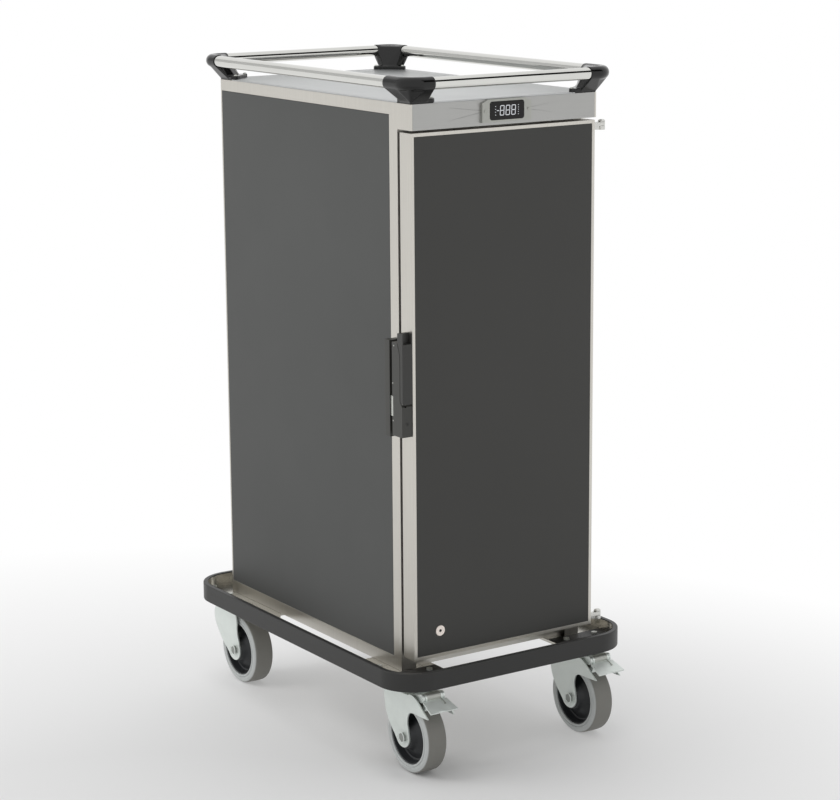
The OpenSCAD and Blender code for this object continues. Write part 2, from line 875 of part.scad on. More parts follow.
module door_gasket() {
    x = [door_x0 + 4, door_x1 - 4];
    z = [door_z0 + 2.4, door_z1 - 3.6];
    color([0.2, 0.2, 0.2]) difference() {
        box(x, [door_t, door_t + gasket_t], z);
        box(x + [gasket_w, -gasket_w], [door_t - 1, door_t + gasket_t + 1], z + [gasket_w, -gasket_w]);
    }
}

module door_stud() {
    color(zinc) difference() {
        rod_y(stud_r, stud_x, [-stud_out, pocket_t + 1], stud_z);
        rod_y(3.25, stud_x, [-stud_out - 1, pocket_t - 1], stud_z);
    }
}

// on the cabinet's right side, where the stud arrives when the door is folded back
module hold_open_catch() {
    y = pin_y + pin_x - stud_x;
    reach = pin_out - pin_y - stud_out - 0.8;
    color(zinc) {
        rod_x(stud_r, [hw, hw + reach], y, stud_z);
    }
}

// ---------------------------------------------------------------- latch

// outlines in Y and Z, counted from the header front and from the pivot's height
module at_latch() {
    translate([0, 0, piv_z]) children();
}

module latch_housing() {
    x_wall = latch_x0 + latch_wall;
    color(black) at_latch() difference() {
        union() {
            difference() {
                along_x([latch_x0, -hw]) polygon([
                    [2, housing_z[0]], [latch_d, housing_z[0]], [latch_d, housing_z[1]],
                    [grip_y + lever_gap, housing_z[1]], [lever_t + lever_gap, grip_z],
                    [lever_t + lever_gap, 6], [2, -6]
                ]);
                along_x([x_wall, -hw + 1]) polygon([
                    [4, housing_z[0] + 6], [latch_d - latch_wall, housing_z[0] + 6],
                    [latch_d - latch_wall, shelf_z[0]], [shelf_y, shelf_z[0]], [shelf_y, 6.6], [4, -5.4]
                ]);
                along_x([x_wall, -hw + 1]) polygon([
                    [shelf_y, shelf_z[1]], [latch_d - latch_wall, shelf_z[1]],
                    [latch_d - latch_wall, housing_z[1] - 5], [grip_y + 2.5, housing_z[1] - 5],
                    [shelf_y, grip_z - 2]
                ]);
            }
            rod_y(7.5, lock_x, [3, 24], lock_z);
            box([x_wall - 1, -hw - 4], [31, latch_d - 1.5], span(tongue_z[0] - tongue_play - 5, 5));
        }
        rod_y(4 + fit, lock_x, [0, 25], lock_z);
        box([latch_x0 - 1, tongue_x[1] + tongue_play], [latch_d - 3, latch_d + 1],
            tongue_z + [-tongue_play, tongue_play]);
        box(layer_lever + [-0.5, 0.5], [0, shelf_y + 1], [-7, crank_z + 6]);
        rod_x(latch_pin_r, [latch_x0 + 1.5, -hw + 1], piv_y, 0);
    }
}

module latch_pivot_pin() {
    color(zinc) at_latch() rod_x(latch_pin_r, [latch_x0 + 1.5, -hw], piv_y, 0);
}

// presses the tongue out; shown as short as it gets, so it never reaches into the tongue
module latch_spring() {
    color(zinc) at_latch() difference() {
        rod_y(spring_r, (tongue_x[0] + tongue_x[1]) / 2, [4, 38], spring_z);
        rod_y(spring_r - 1, (tongue_x[0] + tongue_x[1]) / 2, [3, 39], spring_z);
    }
}

module latch_lever() {
    color(black) at_latch() difference() {
        union() {
            difference() {
                along_x([latch_x0 + lever_gap, -hw - lever_gap]) polygon([
                    [0, -1], [5, 1], [lever_t, 6], [lever_t, grip_z], [grip_y, housing_z[1]],
                    [grip_y, lever_top], [0, lever_top]
                ]);
                box([latch_x0 + 3, -hw - 3], [-1, grip_pocket[1]], [lever_top - grip_pocket[0], lever_top + 1]);
            }
            rod_x(6, layer_lever, piv_y, 0);
            along_x(layer_lever) polygon([
                [piv_y - 4, 3], [piv_y + 4, -4.5], [crank_y + piv_y + 3.5, crank_z - 3.5],
                [crank_y + piv_y + 1, crank_z + 4]
            ]);
            rod_x(4.5, layer_lever, piv_y + crank_y, crank_z);
            rod_x(crank_r, [layer_lever[0], layer_arm[1] - 0.5], piv_y + crank_y, crank_z);
        }
        rod_x(latch_pin_r + fit, [latch_x0, -hw], piv_y, 0);
    }
}

module latch_tongue() {
    slot = crank_r + 0.9;
    cy = piv_y + crank_y;
    color(zinc) at_latch() difference() {
        union() {
            box(tongue_x, [30, 57], [tongue_z[0], tongue_root]);
            box(tongue_x, [35.5, 57], tongue_z);
            box(layer_arm, [28.5, 36], [tongue_root - 1, crank_z - 6]);
            box(layer_arm, [cy - slot - 1.8, 35], [crank_z - 8, crank_z + 14]);
        }
        box(layer_arm + [-1, 1], [cy - slot, cy + slot], [crank_z - 4, crank_z + 15]);
        rod_y(spring_r + 0.3, (tongue_x[0] + tongue_x[1]) / 2, [29, 50], spring_z);
    }
}

module lock_cylinder() {
    color(zinc) at_latch() difference() {
        union() {
            rod_y(4, lock_x, [1.4, 25], lock_z);
            box([lock_x - 8, lock_x + 3], [25, 28], span(lock_z - 3, 6));
        }
        box([lock_x - 0.6, lock_x + 0.6], [0, 8], span(lock_z - 2.6, 5.2));
    }
}

module latch_keeper() {
    color(black) at_latch() difference() {
        box([latch_x0, -hw], span(jamb_y - keeper_lip, keeper_t), keeper_z);
        box([latch_x0 + 1.2, tongue_x[1] + 2], span(jamb_y - keeper_lip - 1, keeper_t - 2), tongue_z + [-2, 2]);
    }
}

// ---------------------------------------------------------------- castors

// children are drawn round the wheel's axle line, with heights from the floor
module at_castor(sx, axis_y) {
    translate([sx * cast_x, axis_y - trail, 0]) children();
}

function braked_cheek() = soften([
    [76, castor_h - 28], [76, castor_h - 28], [73, castor_h - 55], [66, castor_h - 88],
    [50, castor_h - 110], [30, wheel_z - 6], [16, wheel_z - 23], [-8, wheel_z - 23],
    [-23, wheel_z - 6], [-19, castor_h - 106], [-13, castor_h - 86], [-20, castor_h - 66],
    [-34, castor_h - 62], [-50, castor_h - 62], [-92, castor_h - 61], [-92, castor_h - 60],
    [-63, castor_h - 40], [-42, castor_h - 24], [-20, castor_h - 24], [-20, castor_h - 28]
], 2);

function plain_cheek() = soften([
    [82, castor_h - 28], [82, castor_h - 28], [96, castor_h - 52], [92, castor_h - 76],
    [76, castor_h - 96], [58, castor_h - 116], [32, wheel_z - 8], [16, wheel_z - 25],
    [-8, wheel_z - 25], [-24, wheel_z - 8], [-20, castor_h - 104], [-10, castor_h - 84],
    [-10, castor_h - 50], [0, castor_h - 28], [0, castor_h - 28]
], 2);

module fork(outline, ears) {
    color(zinc) {
        difference() {
            union() {
                for (s = [-1, 1]) along_x(s < 0 ? [-cheek_x - cheek_t, -cheek_x] : [cheek_x, cheek_x + cheek_t]) {
                    polygon(outline);
                    translate([0, wheel_z]) circle(20);
                }
                if (ears) for (s = [-1, 1]) along_x(s < 0 ? [-ear_x - ear_t, -ear_x] : [ear_x, ear_x + ear_t]) {
                    translate([pedal_y, pedal_z]) circle(roll_r - 0.5);
                    polygon([
                        [pedal_y, pedal_z - roll_r + 0.5], [pedal_y, pedal_z + roll_r - 0.5],
                        [-8, crown_z + crown_t], [-8, crown_z]
                    ]);
                }
                box([-cheek_x - cheek_t, cheek_x + cheek_t], [ears ? -12 : 6, trail], span(crown_z, crown_t));
                box([-cheek_x - cheek_t, cheek_x + cheek_t], [trail, 74], span(crown_z, crown_t));
                rod_z(cup_r, 0, trail, span(crown_z, crown_t + 20));
            }
            rod_z(race_r + 0.3, 0, trail, span(crown_z + crown_t, 21));
            rod_z(kingpin_r + fit, 0, trail, span(crown_z - 1, crown_t + 2));
            rod_x(axle_r, [-cheek_x - 9, cheek_x + 9], 0, wheel_z);
            if (ears) rod_x(pedal_pin_r + fit, [-ear_x - ear_t - 1, ear_x + ear_t + 1], pedal_y, pedal_z);
        }
        difference() {
            rod_z(race_r - 1.5, 0, trail, [crown_z + crown_t, castor_h - plate_t - race_t - 0.3]);
            rod_z(kingpin_r + 2, 0, trail, [crown_z, castor_h]);
        }
    }
}

module axle() {
    outer = cheek_x + cheek_t;
    color(bright) {
        rod_x(axle_r, [-outer, outer + 6], 0, wheel_z);
        translate([-outer, 0, wheel_z]) rotate([0, -90, 0]) cylinder(r = 10, h = 5, $fn = 6);
        translate([outer, 0, wheel_z]) rotate([0, 90, 0]) difference() {
            cylinder(r = 10, h = 5, $fn = 6);
            translate([0, 0, -1]) cylinder(r = axle_r, h = 7);
        }
        difference() {
            rod_x(sleeve_r, [-cheek_x, cheek_x], 0, wheel_z);
            rod_x(axle_r, [-cheek_x - 1, cheek_x + 1], 0, wheel_z);
        }
        for (s = [-1, 1]) difference() {
            rod_x(bearing_r, span(s * bearing_x - 5, 10), 0, wheel_z);
            rod_x(sleeve_r, span(s * bearing_x - 6, 12), 0, wheel_z);
        }
    }
}

// turns a profile drawn as [radius, distance across] about the axle line
module wheel_profile() {
    translate([0, 0, wheel_z]) rotate([0, 90, 0]) rotate_extrude($fn = 96) children();
}

module wheel_rim() {
    hub_w = hub_l / 2;
    bore = bearing_r + fit;
    color(black) wheel_profile() polygon([
        [bore, -hub_w], [25, -hub_w], [27, -hub_w + 6], [rim_r - 10, -7], [rim_r - 5, -wheel_w / 2 + 3],
        [rim_r, -wheel_w / 2 + 3], [rim_r, wheel_w / 2 - 3], [rim_r - 5, wheel_w / 2 - 3],
        [rim_r - 10, 7], [27, hub_w - 6], [25, hub_w], [bore, hub_w]
    ]);
}

module wheel_tyre() {
    half = wheel_w / 2;
    round_r = 9;
    color(tyre_grey) wheel_profile() polygon(concat(
        [[rim_r, half - 3], [rim_r, -half + 3], [rim_r + 3, -half]],
        arc([wheel_r - round_r, -half + round_r], round_r, -90, 0, 6),
        arc([wheel_r - round_r, half - round_r], round_r, 0, 90, 6),
        [[rim_r + 3, half]]
    ));
}

module brake_pedal() {
    reach = [pedal_y - pedal_reach, pedal_z - pedal_drop];
    roll_hw = ear_x - 1;
    neck_y = pedal_y - roll_r - 1.5;
    tip_hw = pedal_hw + 5;
    color(zinc) {
        difference() {
            union() {
                rod_x(roll_r, [-roll_hw, roll_hw], pedal_y, pedal_z);
                intersection() {
                    along_x([-tip_hw, tip_hw]) polygon([
                        [pedal_y - 2, pedal_z - 1], [pedal_y - 4, pedal_z - 5],
                        [reach[0] + 1, reach[1]], [reach[0], reach[1] + 3]
                    ]);
                    along_z([reach[1] - 1, pedal_z + roll_r]) polygon([
                        [-roll_hw, pedal_y], [roll_hw, pedal_y], [roll_hw, neck_y], [pedal_hw, neck_y],
                        [tip_hw, reach[0] - 1], [-tip_hw, reach[0] - 1], [-pedal_hw, neck_y], [-roll_hw, neck_y]
                    ]);
                }
                along_x([-14, 14]) polygon([
                    [pedal_y - 5, pedal_z - 3], [pedal_y + 6, pedal_z - 3],
                    shoe + [shoe_r, 1], shoe + [-shoe_r, 1]
                ]);
                rod_x(shoe_r, [-14, 14], shoe[0], shoe[1]);
            }
            rod_x(pedal_pin_r, [-roll_hw - 1, roll_hw + 1], pedal_y, pedal_z);
            box([-13, 4], [reach[0] - 2, reach[0] + 2], span(reach[1] - 5, 12));
        }
        rod_x(pedal_pin_r, [-ear_x - ear_t - 1, ear_x + ear_t + 1], pedal_y, pedal_z);
    }
}

// ---------------------------------------------------------------- what is drawn

module castor_fork_fl() { at_castor(-1, front_y) fork(braked_cheek(), true); }
module castor_fork_fr() { at_castor(1, front_y) fork(braked_cheek(), true); }
module castor_fork_bl() { at_castor(-1, rear_y) fork(plain_cheek(), false); }
module castor_fork_br() { at_castor(1, rear_y) fork(plain_cheek(), false); }
module castor_axle_fl() { at_castor(-1, front_y) axle(); }
module castor_axle_fr() { at_castor(1, front_y) axle(); }
module castor_axle_bl() { at_castor(-1, rear_y) axle(); }
module castor_axle_br() { at_castor(1, rear_y) axle(); }
module wheel_rim_fl() { at_castor(-1, front_y) wheel_rim(); }
module wheel_rim_fr() { at_castor(1, front_y) wheel_rim(); }
module wheel_rim_bl() { at_castor(-1, rear_y) wheel_rim(); }
module wheel_rim_br() { at_castor(1, rear_y) wheel_rim(); }
module wheel_tyre_fl() { at_castor(-1, front_y) wheel_tyre(); }
module wheel_tyre_fr() { at_castor(1, front_y) wheel_tyre(); }
module wheel_tyre_bl() { at_castor(-1, rear_y) wheel_tyre(); }
module wheel_tyre_br() { at_castor(1, rear_y) wheel_tyre(); }
module brake_pedal_fl() { at_castor(-1, front_y) brake_pedal(); }
module brake_pedal_fr() { at_castor(1, front_y) brake_pedal(); }

cart() base_frame();
cart() castor_platforms();
cart() castor_bolts();
cart() castor_heads();
cart() bumper_carrier();
cart() bumper();
cart() side_shell_left();
cart() side_shell_right();
cart() back_shell();
cart() laminate_panels();
cart() top_deck();
cart() header();
cart() front_frame();
cart() insulation_boards();
cart() liner_sheets();
cart() rack_posts();
cart() tray_runners();
cart() display_bezel();
cart() display_window();
cart() display_digits();
cart() thermometer_module();
cart() temperature_probe();
cart() gallery_tubes();
cart() gallery_corners();
cart() gallery_screws();
cart() hinge_brackets();
cart() hinge_pins();
cart() latch_keeper();
cart() hold_open_catch();
cart() door_skin();
cart() door_laminate();
cart() door_insulation();
cart() door_liner();
cart() door_gasket();
cart() door_hinge_arms();
cart() door_stud();
cart() latch_housing();
cart() latch_pivot_pin();
cart() latch_spring();
cart() latch_lever();
cart() latch_tongue();
cart() lock_cylinder();
cart() castor_fork_fl();
cart() castor_fork_fr();
cart() castor_fork_bl();
cart() castor_fork_br();
cart() castor_axle_fl();
cart() castor_axle_fr();
cart() castor_axle_bl();
cart() castor_axle_br();
cart() wheel_rim_fl();
cart() wheel_rim_fr();
cart() wheel_rim_bl();
cart() wheel_rim_br();
cart() wheel_tyre_fl();
cart() wheel_tyre_fr();
cart() wheel_tyre_bl();
cart() wheel_tyre_br();
cart() brake_pedal_fl();
cart() brake_pedal_fr();
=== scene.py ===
"""Looks of an enclosed meal tray cart.

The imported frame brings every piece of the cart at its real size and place, in metres. This script
gives those pieces their finishes and softened edges, makes finer ones in place of the tyres, rims,
door gasket, lit digits and screws, and sets up a plain pale studio round the cart.
"""

import json
import logging
import math
from abc import ABC, abstractmethod
from collections.abc import Iterable, Sequence
from dataclasses import dataclass
from enum import Enum
from typing import Any, NamedTuple

import bmesh
import bpy
from mathutils import Matrix, Vector

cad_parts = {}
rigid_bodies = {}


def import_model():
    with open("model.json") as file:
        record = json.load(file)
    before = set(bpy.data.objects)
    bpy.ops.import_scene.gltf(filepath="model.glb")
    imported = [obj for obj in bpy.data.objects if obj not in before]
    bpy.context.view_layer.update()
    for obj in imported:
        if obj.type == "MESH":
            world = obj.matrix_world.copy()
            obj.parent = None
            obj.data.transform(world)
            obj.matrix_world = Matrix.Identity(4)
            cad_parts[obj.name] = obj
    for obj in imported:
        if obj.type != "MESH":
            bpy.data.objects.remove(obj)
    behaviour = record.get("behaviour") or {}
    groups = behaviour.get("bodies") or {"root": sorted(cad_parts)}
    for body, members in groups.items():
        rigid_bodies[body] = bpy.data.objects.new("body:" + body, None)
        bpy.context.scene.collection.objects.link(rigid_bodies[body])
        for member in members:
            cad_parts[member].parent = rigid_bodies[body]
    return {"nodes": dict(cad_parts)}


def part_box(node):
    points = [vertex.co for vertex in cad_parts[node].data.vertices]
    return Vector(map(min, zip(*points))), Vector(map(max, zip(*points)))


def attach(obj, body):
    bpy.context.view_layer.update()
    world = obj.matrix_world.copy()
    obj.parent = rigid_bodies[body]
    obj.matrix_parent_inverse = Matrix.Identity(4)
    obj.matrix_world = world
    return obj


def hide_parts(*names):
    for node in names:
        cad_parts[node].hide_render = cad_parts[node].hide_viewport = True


for left_over in list(bpy.data.objects):
    bpy.data.objects.remove(left_over)
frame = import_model()

LOG = logging.getLogger("meal_cart")
MM = 0.001

Colour = tuple[float, float, float, float]
Point = tuple[float, float]
Shape = bmesh.types.BMesh
Socket = bpy.types.NodeSocket


def shown(red: float, green: float, blue: float) -> Colour:
    """Turns a colour as a screen shows it into the linear one that shaders work in.

    Args:
        red: Red from 0 to 255.
        green: Green from 0 to 255.
        blue: Blue from 0 to 255.

    Returns:
        The linear colour with full alpha.
    """

    def linear(value: float) -> float:
        """One channel, from the screen's curve to light."""
        part = value / 255
        return part / 12.92 if part <= 0.04045 else ((part + 0.055) / 1.055) ** 2.4

    return (linear(red), linear(green), linear(blue), 1.0)


def scaled(colour: Colour, factor: float) -> Colour:
    """The same colour, made lighter or darker by a factor."""
    return (colour[0] * factor, colour[1] * factor, colour[2] * factor, 1.0)


# ---------------------------------------------------------------- finishes


class Grain(Enum):
    """Which way the fine lines of a brushed surface run, as waves per metre along X, Y and Z."""

    ACROSS = (6.0, 420.0, 420.0)
    DEEP = (420.0, 6.0, 420.0)
    UPRIGHT = (420.0, 420.0, 6.0)


NOISE_RANGE = (0.3, 0.7)
NOISE_ROUGHNESS = 0.6


class Nodes:
    """A node tree, with short ways to add nodes and join them."""

    def __init__(self, tree: bpy.types.NodeTree) -> None:
        """Takes the tree that the nodes go into."""
        self.tree = tree

    def put(self, socket: Socket, value: Any) -> None:
        """Joins a socket to another node's socket, or gives it a plain value."""
        if isinstance(value, Socket):
            self.tree.links.new(value, socket)
        else:
            socket.default_value = value

    def node(self, kind: str, **values: Any) -> bpy.types.Node:
        """Adds a node.

        Args:
            kind: The node's type name.
            **values: Socket values by name with underscores for spaces, or settings of the node.

        Returns:
            The new node.
        """
        made = self.tree.nodes.new(kind)
        for key, value in values.items():
            socket = made.inputs.get(key.replace("_", " "))
            if socket is None:
                setattr(made, key, value)
            else:
                self.put(socket, value)
        return made

    def sum(self, first: Socket, second: Socket | float, operation: str = "ADD") -> Socket:
        """Two values added, or joined by another operation of the Math node."""
        made = self.node("ShaderNodeMath", operation=operation)
        self.put(made.inputs[0], first)
        self.put(made.inputs[1], second)
        return made.outputs[0]

    def spread(self, value: Socket, low: float, high: float, start: float = NOISE_RANGE[0],
               end: float = NOISE_RANGE[1]) -> Socket:
        """Maps a value from start..end to low..high, clamped."""
        made = self.node("ShaderNodeMapRange", Value=value, From_Min=start, From_Max=end, To_Min=low,
                         To_Max=high)
        return made.outputs[0]


class Graph(Nodes):
    """The node tree of one material, which ends in a Principled shader."""

    def __init__(self, name: str) -> None:
        """Starts the material of that name."""
        self.material = bpy.data.materials.new(name)
        self.material.use_nodes = True
        super().__init__(self.material.node_tree)
        self.shader = next(n for n in self.tree.nodes if n.type == "BSDF_PRINCIPLED")
        self.place = self.node("ShaderNodeTexCoord").outputs["Object"]

    def set(self, **values: Any) -> None:
        """Sets or joins the shader's own sockets, named with underscores for spaces."""
        for key, value in values.items():
            self.put(self.shader.inputs[key.replace("_", " ")], value)

    def noise(self, waves: float | Sequence[float], detail: float = 3.0, seed: float = 0.0) -> Socket:
        """A noise fixed to the piece.

        Args:
            waves: Waves per metre, all round or along X, Y and Z.
            detail: How many finer layers the noise has.
            seed: A shift that makes two noises differ.

        Returns:
            The noise's value, from about 0.3 to 0.7.
        """
        scale = (waves,) * 3 if isinstance(waves, float) else waves
        moved = self.node("ShaderNodeMapping", Vector=self.place, Scale=scale, Location=(seed,) * 3)
        made = self.node("ShaderNodeTexNoise", Vector=moved.outputs[0], Scale=1.0, Detail=detail,
                         Roughness=NOISE_ROUGHNESS)
        return made.outputs[0]

    def around(self, value: Socket, centre: float, reach: float) -> Socket:
        """Lets a noise move a number by as much as the reach to both sides."""
        return self.spread(value, centre - reach, centre + reach)

    def mix(self, value: Socket, under: Colour | Socket, over: Colour) -> Socket:
        """A colour that runs from one to another as the value runs from 0 to 1."""
        made = self.node("ShaderNodeMix", data_type="RGBA")
        first, last = [socket for socket in made.inputs if socket.type == "RGBA"]
        for socket, given in ((made.inputs[0], value), (first, under), (last, over)):
            self.put(socket, given)
        return next(socket for socket in made.outputs if socket.type == "RGBA")

    def vary(self, value: Socket, colour: Colour, low: float, high: float = 1.0) -> Socket:
        """A colour that a noise makes darker or lighter, from one factor to another."""
        return self.mix(self.spread(value, 0, 1), scaled(colour, low), scaled(colour, high))

    def relief(self, height: Socket, depth: float, under: Socket | None = None) -> Socket:
        """A normal bent by a height.

        Args:
            height: The height's value.
            depth: How deep a height of 1 is, in metres.
            under: A normal that this one is laid over.

        Returns:
            The bent normal.
        """
        made = self.node("ShaderNodeBump", Height=height, Distance=depth, Strength=1.0)
        if under is not None:
            self.put(made.inputs["Normal"], under)
        return made.outputs[0]


@dataclass(frozen=True)
class Finish:
    """What every surface finish has.

    Attributes:
        name: The finish in plain words, which is also its material's name.
        colour: The main colour, linear.
        roughness: The middle of the shader's roughness.
    """

    name: str
    colour: Colour
    roughness: float

    def material(self) -> bpy.types.Material:
        """The finish's material, made when it is first asked for."""
        found = bpy.data.materials.get(self.name)
        if found is not None:
            return found
        graph = Graph(self.name)
        self.draw(graph)
        return graph.material

    def draw(self, graph: Graph) -> None:
        """Draws the finish into an empty graph; each kind of finish has its own way."""
        raise NotImplementedError


@dataclass(frozen=True)
class BrushedSteel(Finish):
    """Sheet steel with fine lines from the brushing belt.

    Attributes:
        grain: The way the lines run.
        lines: How strongly the lines show, as a share of the colour.
        depth: Depth of the lines in metres.
        stretch: How far highlights are drawn out across the lines.
    """

    grain: Grain = Grain.UPRIGHT
    lines: float = 0.05
    depth: float = 0.000006
    stretch: float = 0.5

    def draw(self, graph: Graph) -> None:
        """Lines in colour, gloss and relief, over slow changes in gloss from handling."""
        lines = graph.noise(self.grain.value, 5.0)
        hands = graph.noise(5.0, 4.0, 3.7)
        graph.set(
            Base_Color=graph.vary(lines, self.colour, 1 - self.lines, 1 + self.lines),
            Metallic=1.0,
            Roughness=graph.sum(graph.around(lines, self.roughness, 0.04), graph.spread(hands, -0.03, 0.05)),
            Anisotropic=self.stretch,
            Normal=graph.relief(lines, self.depth),
        )


@dataclass(frozen=True)
class PolishedSteel(Finish):
    """Bright polished steel with faint wipe marks.

    Attributes:
        smudge: How much rougher the wiped places are.
        wave: Height of the slow unevenness, in metres.
    """

    smudge: float = 0.08
    wave: float = 0.00004

    def draw(self, graph: Graph) -> None:
        """Soft smudges in gloss and a very shallow waviness."""
        wipes = graph.noise((14.0, 9.0, 14.0), 6.0, 1.3)
        waves = graph.noise(26.0, 1.0, 8.1)
        graph.set(
            Base_Color=graph.vary(wipes, self.colour, 0.96),
            Metallic=1.0,
            Roughness=graph.spread(wipes, self.roughness, self.roughness + self.smudge, 0.45, 0.75),
            Normal=graph.relief(waves, self.wave),
        )


@dataclass(frozen=True)
class ZincPlate(Finish):
    """Bright zinc on pressed steel: pale, a little cloudy, with small scratches.

    Attributes:
        cloud: How much the colour wanders.
    """

    cloud: float = 0.06

    def draw(self, graph: Graph) -> None:
        """Clouds in the colour, scratches in the gloss."""
        clouds = graph.noise(45.0, 4.0)
        scratches = graph.noise((900.0, 60.0, 90.0), 2.0, 5.0)
        graph.set(
            Base_Color=graph.vary(clouds, self.colour, 1 - self.cloud),
            Metallic=0.6,
            Roughness=graph.sum(graph.spread(clouds, self.roughness, self.roughness + 0.1),
                                graph.around(scratches, 0.0, 0.05)),
            Normal=graph.relief(scratches, 0.000012, graph.relief(clouds, 0.00005)),
        )


@dataclass(frozen=True)
class Laminate(Finish):
    """High-pressure laminate with a fine even texture.

    Attributes:
        fleck: How much the tiny flecks differ from the colour.
    """

    fleck: float = 0.05

    def draw(self, graph: Graph) -> None:
        """Tiny flecks, a fine pressed grain and slow changes in gloss."""
        flecks = graph.noise(1400.0, 2.0)
        slow = graph.noise(3.0, 3.0, 2.0)
        graph.set(
            Base_Color=graph.vary(flecks, self.colour, 1 - self.fleck, 1 + self.fleck),
            Roughness=graph.sum(graph.around(flecks, self.roughness, 0.03), graph.spread(slow, -0.03, 0.04)),
            Specular_IOR_Level=0.32,
            Normal=graph.relief(flecks, 0.00002),
        )


@dataclass(frozen=True)
class Moulding(Finish):
    """Moulded plastic or powder coat.

    Attributes:
        bead: Size of the surface's fine grain, in waves per metre.
        depth: Depth of that grain in metres.
        scuff: How far scuffed places lighten, from 0 to 1.
        shine: How strongly it mirrors, where 0.5 is common plastic.
    """

    bead: float = 900.0
    depth: float = 0.00004
    scuff: float = 0.0
    shine: float = 0.4

    def draw(self, graph: Graph) -> None:
        """A leathery grain, with scuffs where something rubs."""
        beads = graph.noise(self.bead, 2.0)
        rubs = graph.noise((30.0, 30.0, 140.0), 6.0, 4.4)
        worn = graph.spread(rubs, 0.0, self.scuff, 0.56, 0.72)
        graph.set(
            Base_Color=graph.mix(worn, graph.vary(beads, self.colour, 0.92, 1.06), scaled(self.colour, 2.2)),
            Roughness=graph.sum(graph.around(beads, self.roughness, 0.04), worn),
            Specular_IOR_Level=self.shine,
            Normal=graph.relief(beads, self.depth),
        )


@dataclass(frozen=True)
class TyreRubber(Finish):
    """Grey elastic tyre rubber, a little dirtier where it rolls.

    Attributes:
        tread_dirt_and_shade: Colour of the running surface, with dirt and painted shade.
        tread_radius: Distance from the axle at which the running surface starts, in metres.
    """

    tread_dirt_and_shade: Colour = (0.2, 0.2, 0.19, 1.0)
    tread_radius: float = 0.0775

    def draw(self, graph: Graph) -> None:
        """Colour by distance from the axle, darker on the running surface as dirt and painted shade, with
        dust and a fine grain.
        """
        parts = graph.node("ShaderNodeSeparateXYZ", Vector=graph.place)
        flat = graph.node("ShaderNodeCombineXYZ", Y=parts.outputs[1], Z=parts.outputs[2])
        away = graph.node("ShaderNodeVectorMath", operation="LENGTH", Vector=flat.outputs[0])
        dust = graph.noise(70.0, 6.0)
        fine = graph.noise(1200.0, 2.0, 2.0)
        # The running surface is painted darker: partly dirt, mostly shade.
        dirt_and_shade_band = graph.spread(away.outputs["Value"], 0, 1, self.tread_radius - MM, self.tread_radius + MM)
        graph.set(
            Base_Color=graph.mix(dirt_and_shade_band, graph.vary(dust, self.colour, 0.93, 1.03), self.tread_dirt_and_shade),
            Roughness=graph.spread(dust, self.roughness - 0.06, self.roughness + 0.08),
            Specular_IOR_Level=0.35,
            Normal=graph.relief(fine, 0.00003),
        )


@dataclass(frozen=True)
class WindowGlass(Finish):
    """A dark glossy display window."""

    def draw(self, graph: Graph) -> None:
        """Nearly black, with faint wipe marks."""
        wipes = graph.noise((120.0, 60.0, 90.0), 4.0)
        graph.set(
            Base_Color=graph.vary(wipes, self.colour, 0.9),
            Roughness=graph.spread(wipes, self.roughness, self.roughness + 0.08),
            Specular_IOR_Level=0.25,
        )


@dataclass(frozen=True)
class LitStrokes(Finish):
    """The display's lit strokes.

    Attributes:
        glow: How strongly they shine.
    """

    glow: float = 0.9

    def draw(self, graph: Graph) -> None:
        """An even glow with a slightly brighter heart."""
        heart = graph.noise(700.0, 1.0)
        graph.set(
            Base_Color=self.colour,
            Roughness=self.roughness,
            Emission_Color=graph.vary(heart, self.colour, 0.88),
            Emission_Strength=self.glow,
        )


@dataclass(frozen=True)
class WoolBoard(Finish):
    """Mineral wool insulation board."""

    def draw(self, graph: Graph) -> None:
        """Matted fibres."""
        fibres = graph.noise((900.0, 220.0, 220.0), 6.0)
        graph.set(
            Base_Color=graph.vary(fibres, self.colour, 0.75),
            Roughness=self.roughness,
            Sheen_Weight=0.3,
            Normal=graph.relief(fibres, 0.0006),
        )


CABINET_STEEL = BrushedSteel("satin cabinet steel", shown(202, 199, 192), 0.34)
# The header's steel is the cabinet's satin steel painted darker, as shade on its front face.
HEADER_STEEL_SHADED = BrushedSteel("satin header steel with painted shade", shown(168, 168, 166), 0.34, Grain.ACROSS, 0.02, 1e-6)
DECK_STEEL = BrushedSteel("satin deck steel", shown(190, 192, 192), 0.38, Grain.DEEP, 0.015, 8e-7, 0.1)
LINER_STEEL = BrushedSteel("dull liner steel", shown(190, 190, 187), 0.42, Grain.UPRIGHT, 0.03, 4e-6, 0.2)
RUNNER_STEEL = BrushedSteel("bent runner steel", shown(196, 196, 193), 0.33, Grain.DEEP, 0.04)
FRAME_STEEL = BrushedSteel("welded frame steel", shown(186, 184, 178), 0.36, Grain.ACROSS, 0.05)
RAIL_STEEL = PolishedSteel("polished gallery tube", shown(214, 214, 210), 0.05, 0.04)
PLATFORM_STEEL = PolishedSteel("bright castor platform", shown(205, 202, 194), 0.20, 0.08, 0.000006)
HINGE_STEEL = PolishedSteel("cast hinge steel", shown(206, 206, 202), 0.24)
FORK_ZINC = ZincPlate("pale zinc fork", shown(224, 230, 226), 0.34)
BOLT_ZINC = ZincPlate("zinc bolt", shown(196, 198, 192), 0.30)
AXLE_STEEL = ZincPlate("dull axle steel", shown(150, 153, 149), 0.34)
SPRING_STEEL = ZincPlate("spring wire", shown(186, 188, 182), 0.30)
STUD_STEEL = ZincPlate("bright stud steel", shown(244, 234, 226), 0.26, 0.03)
DARK_STEEL = ZincPlate("blackened steel", shown(64, 64, 62), 0.38)
BEZEL_ZINC = ZincPlate("display bezel steel", shown(168, 169, 163), 0.33, 0.03)
SIDE_LAMINATE = Laminate("grey side laminate", shown(71, 72, 71), 0.52)
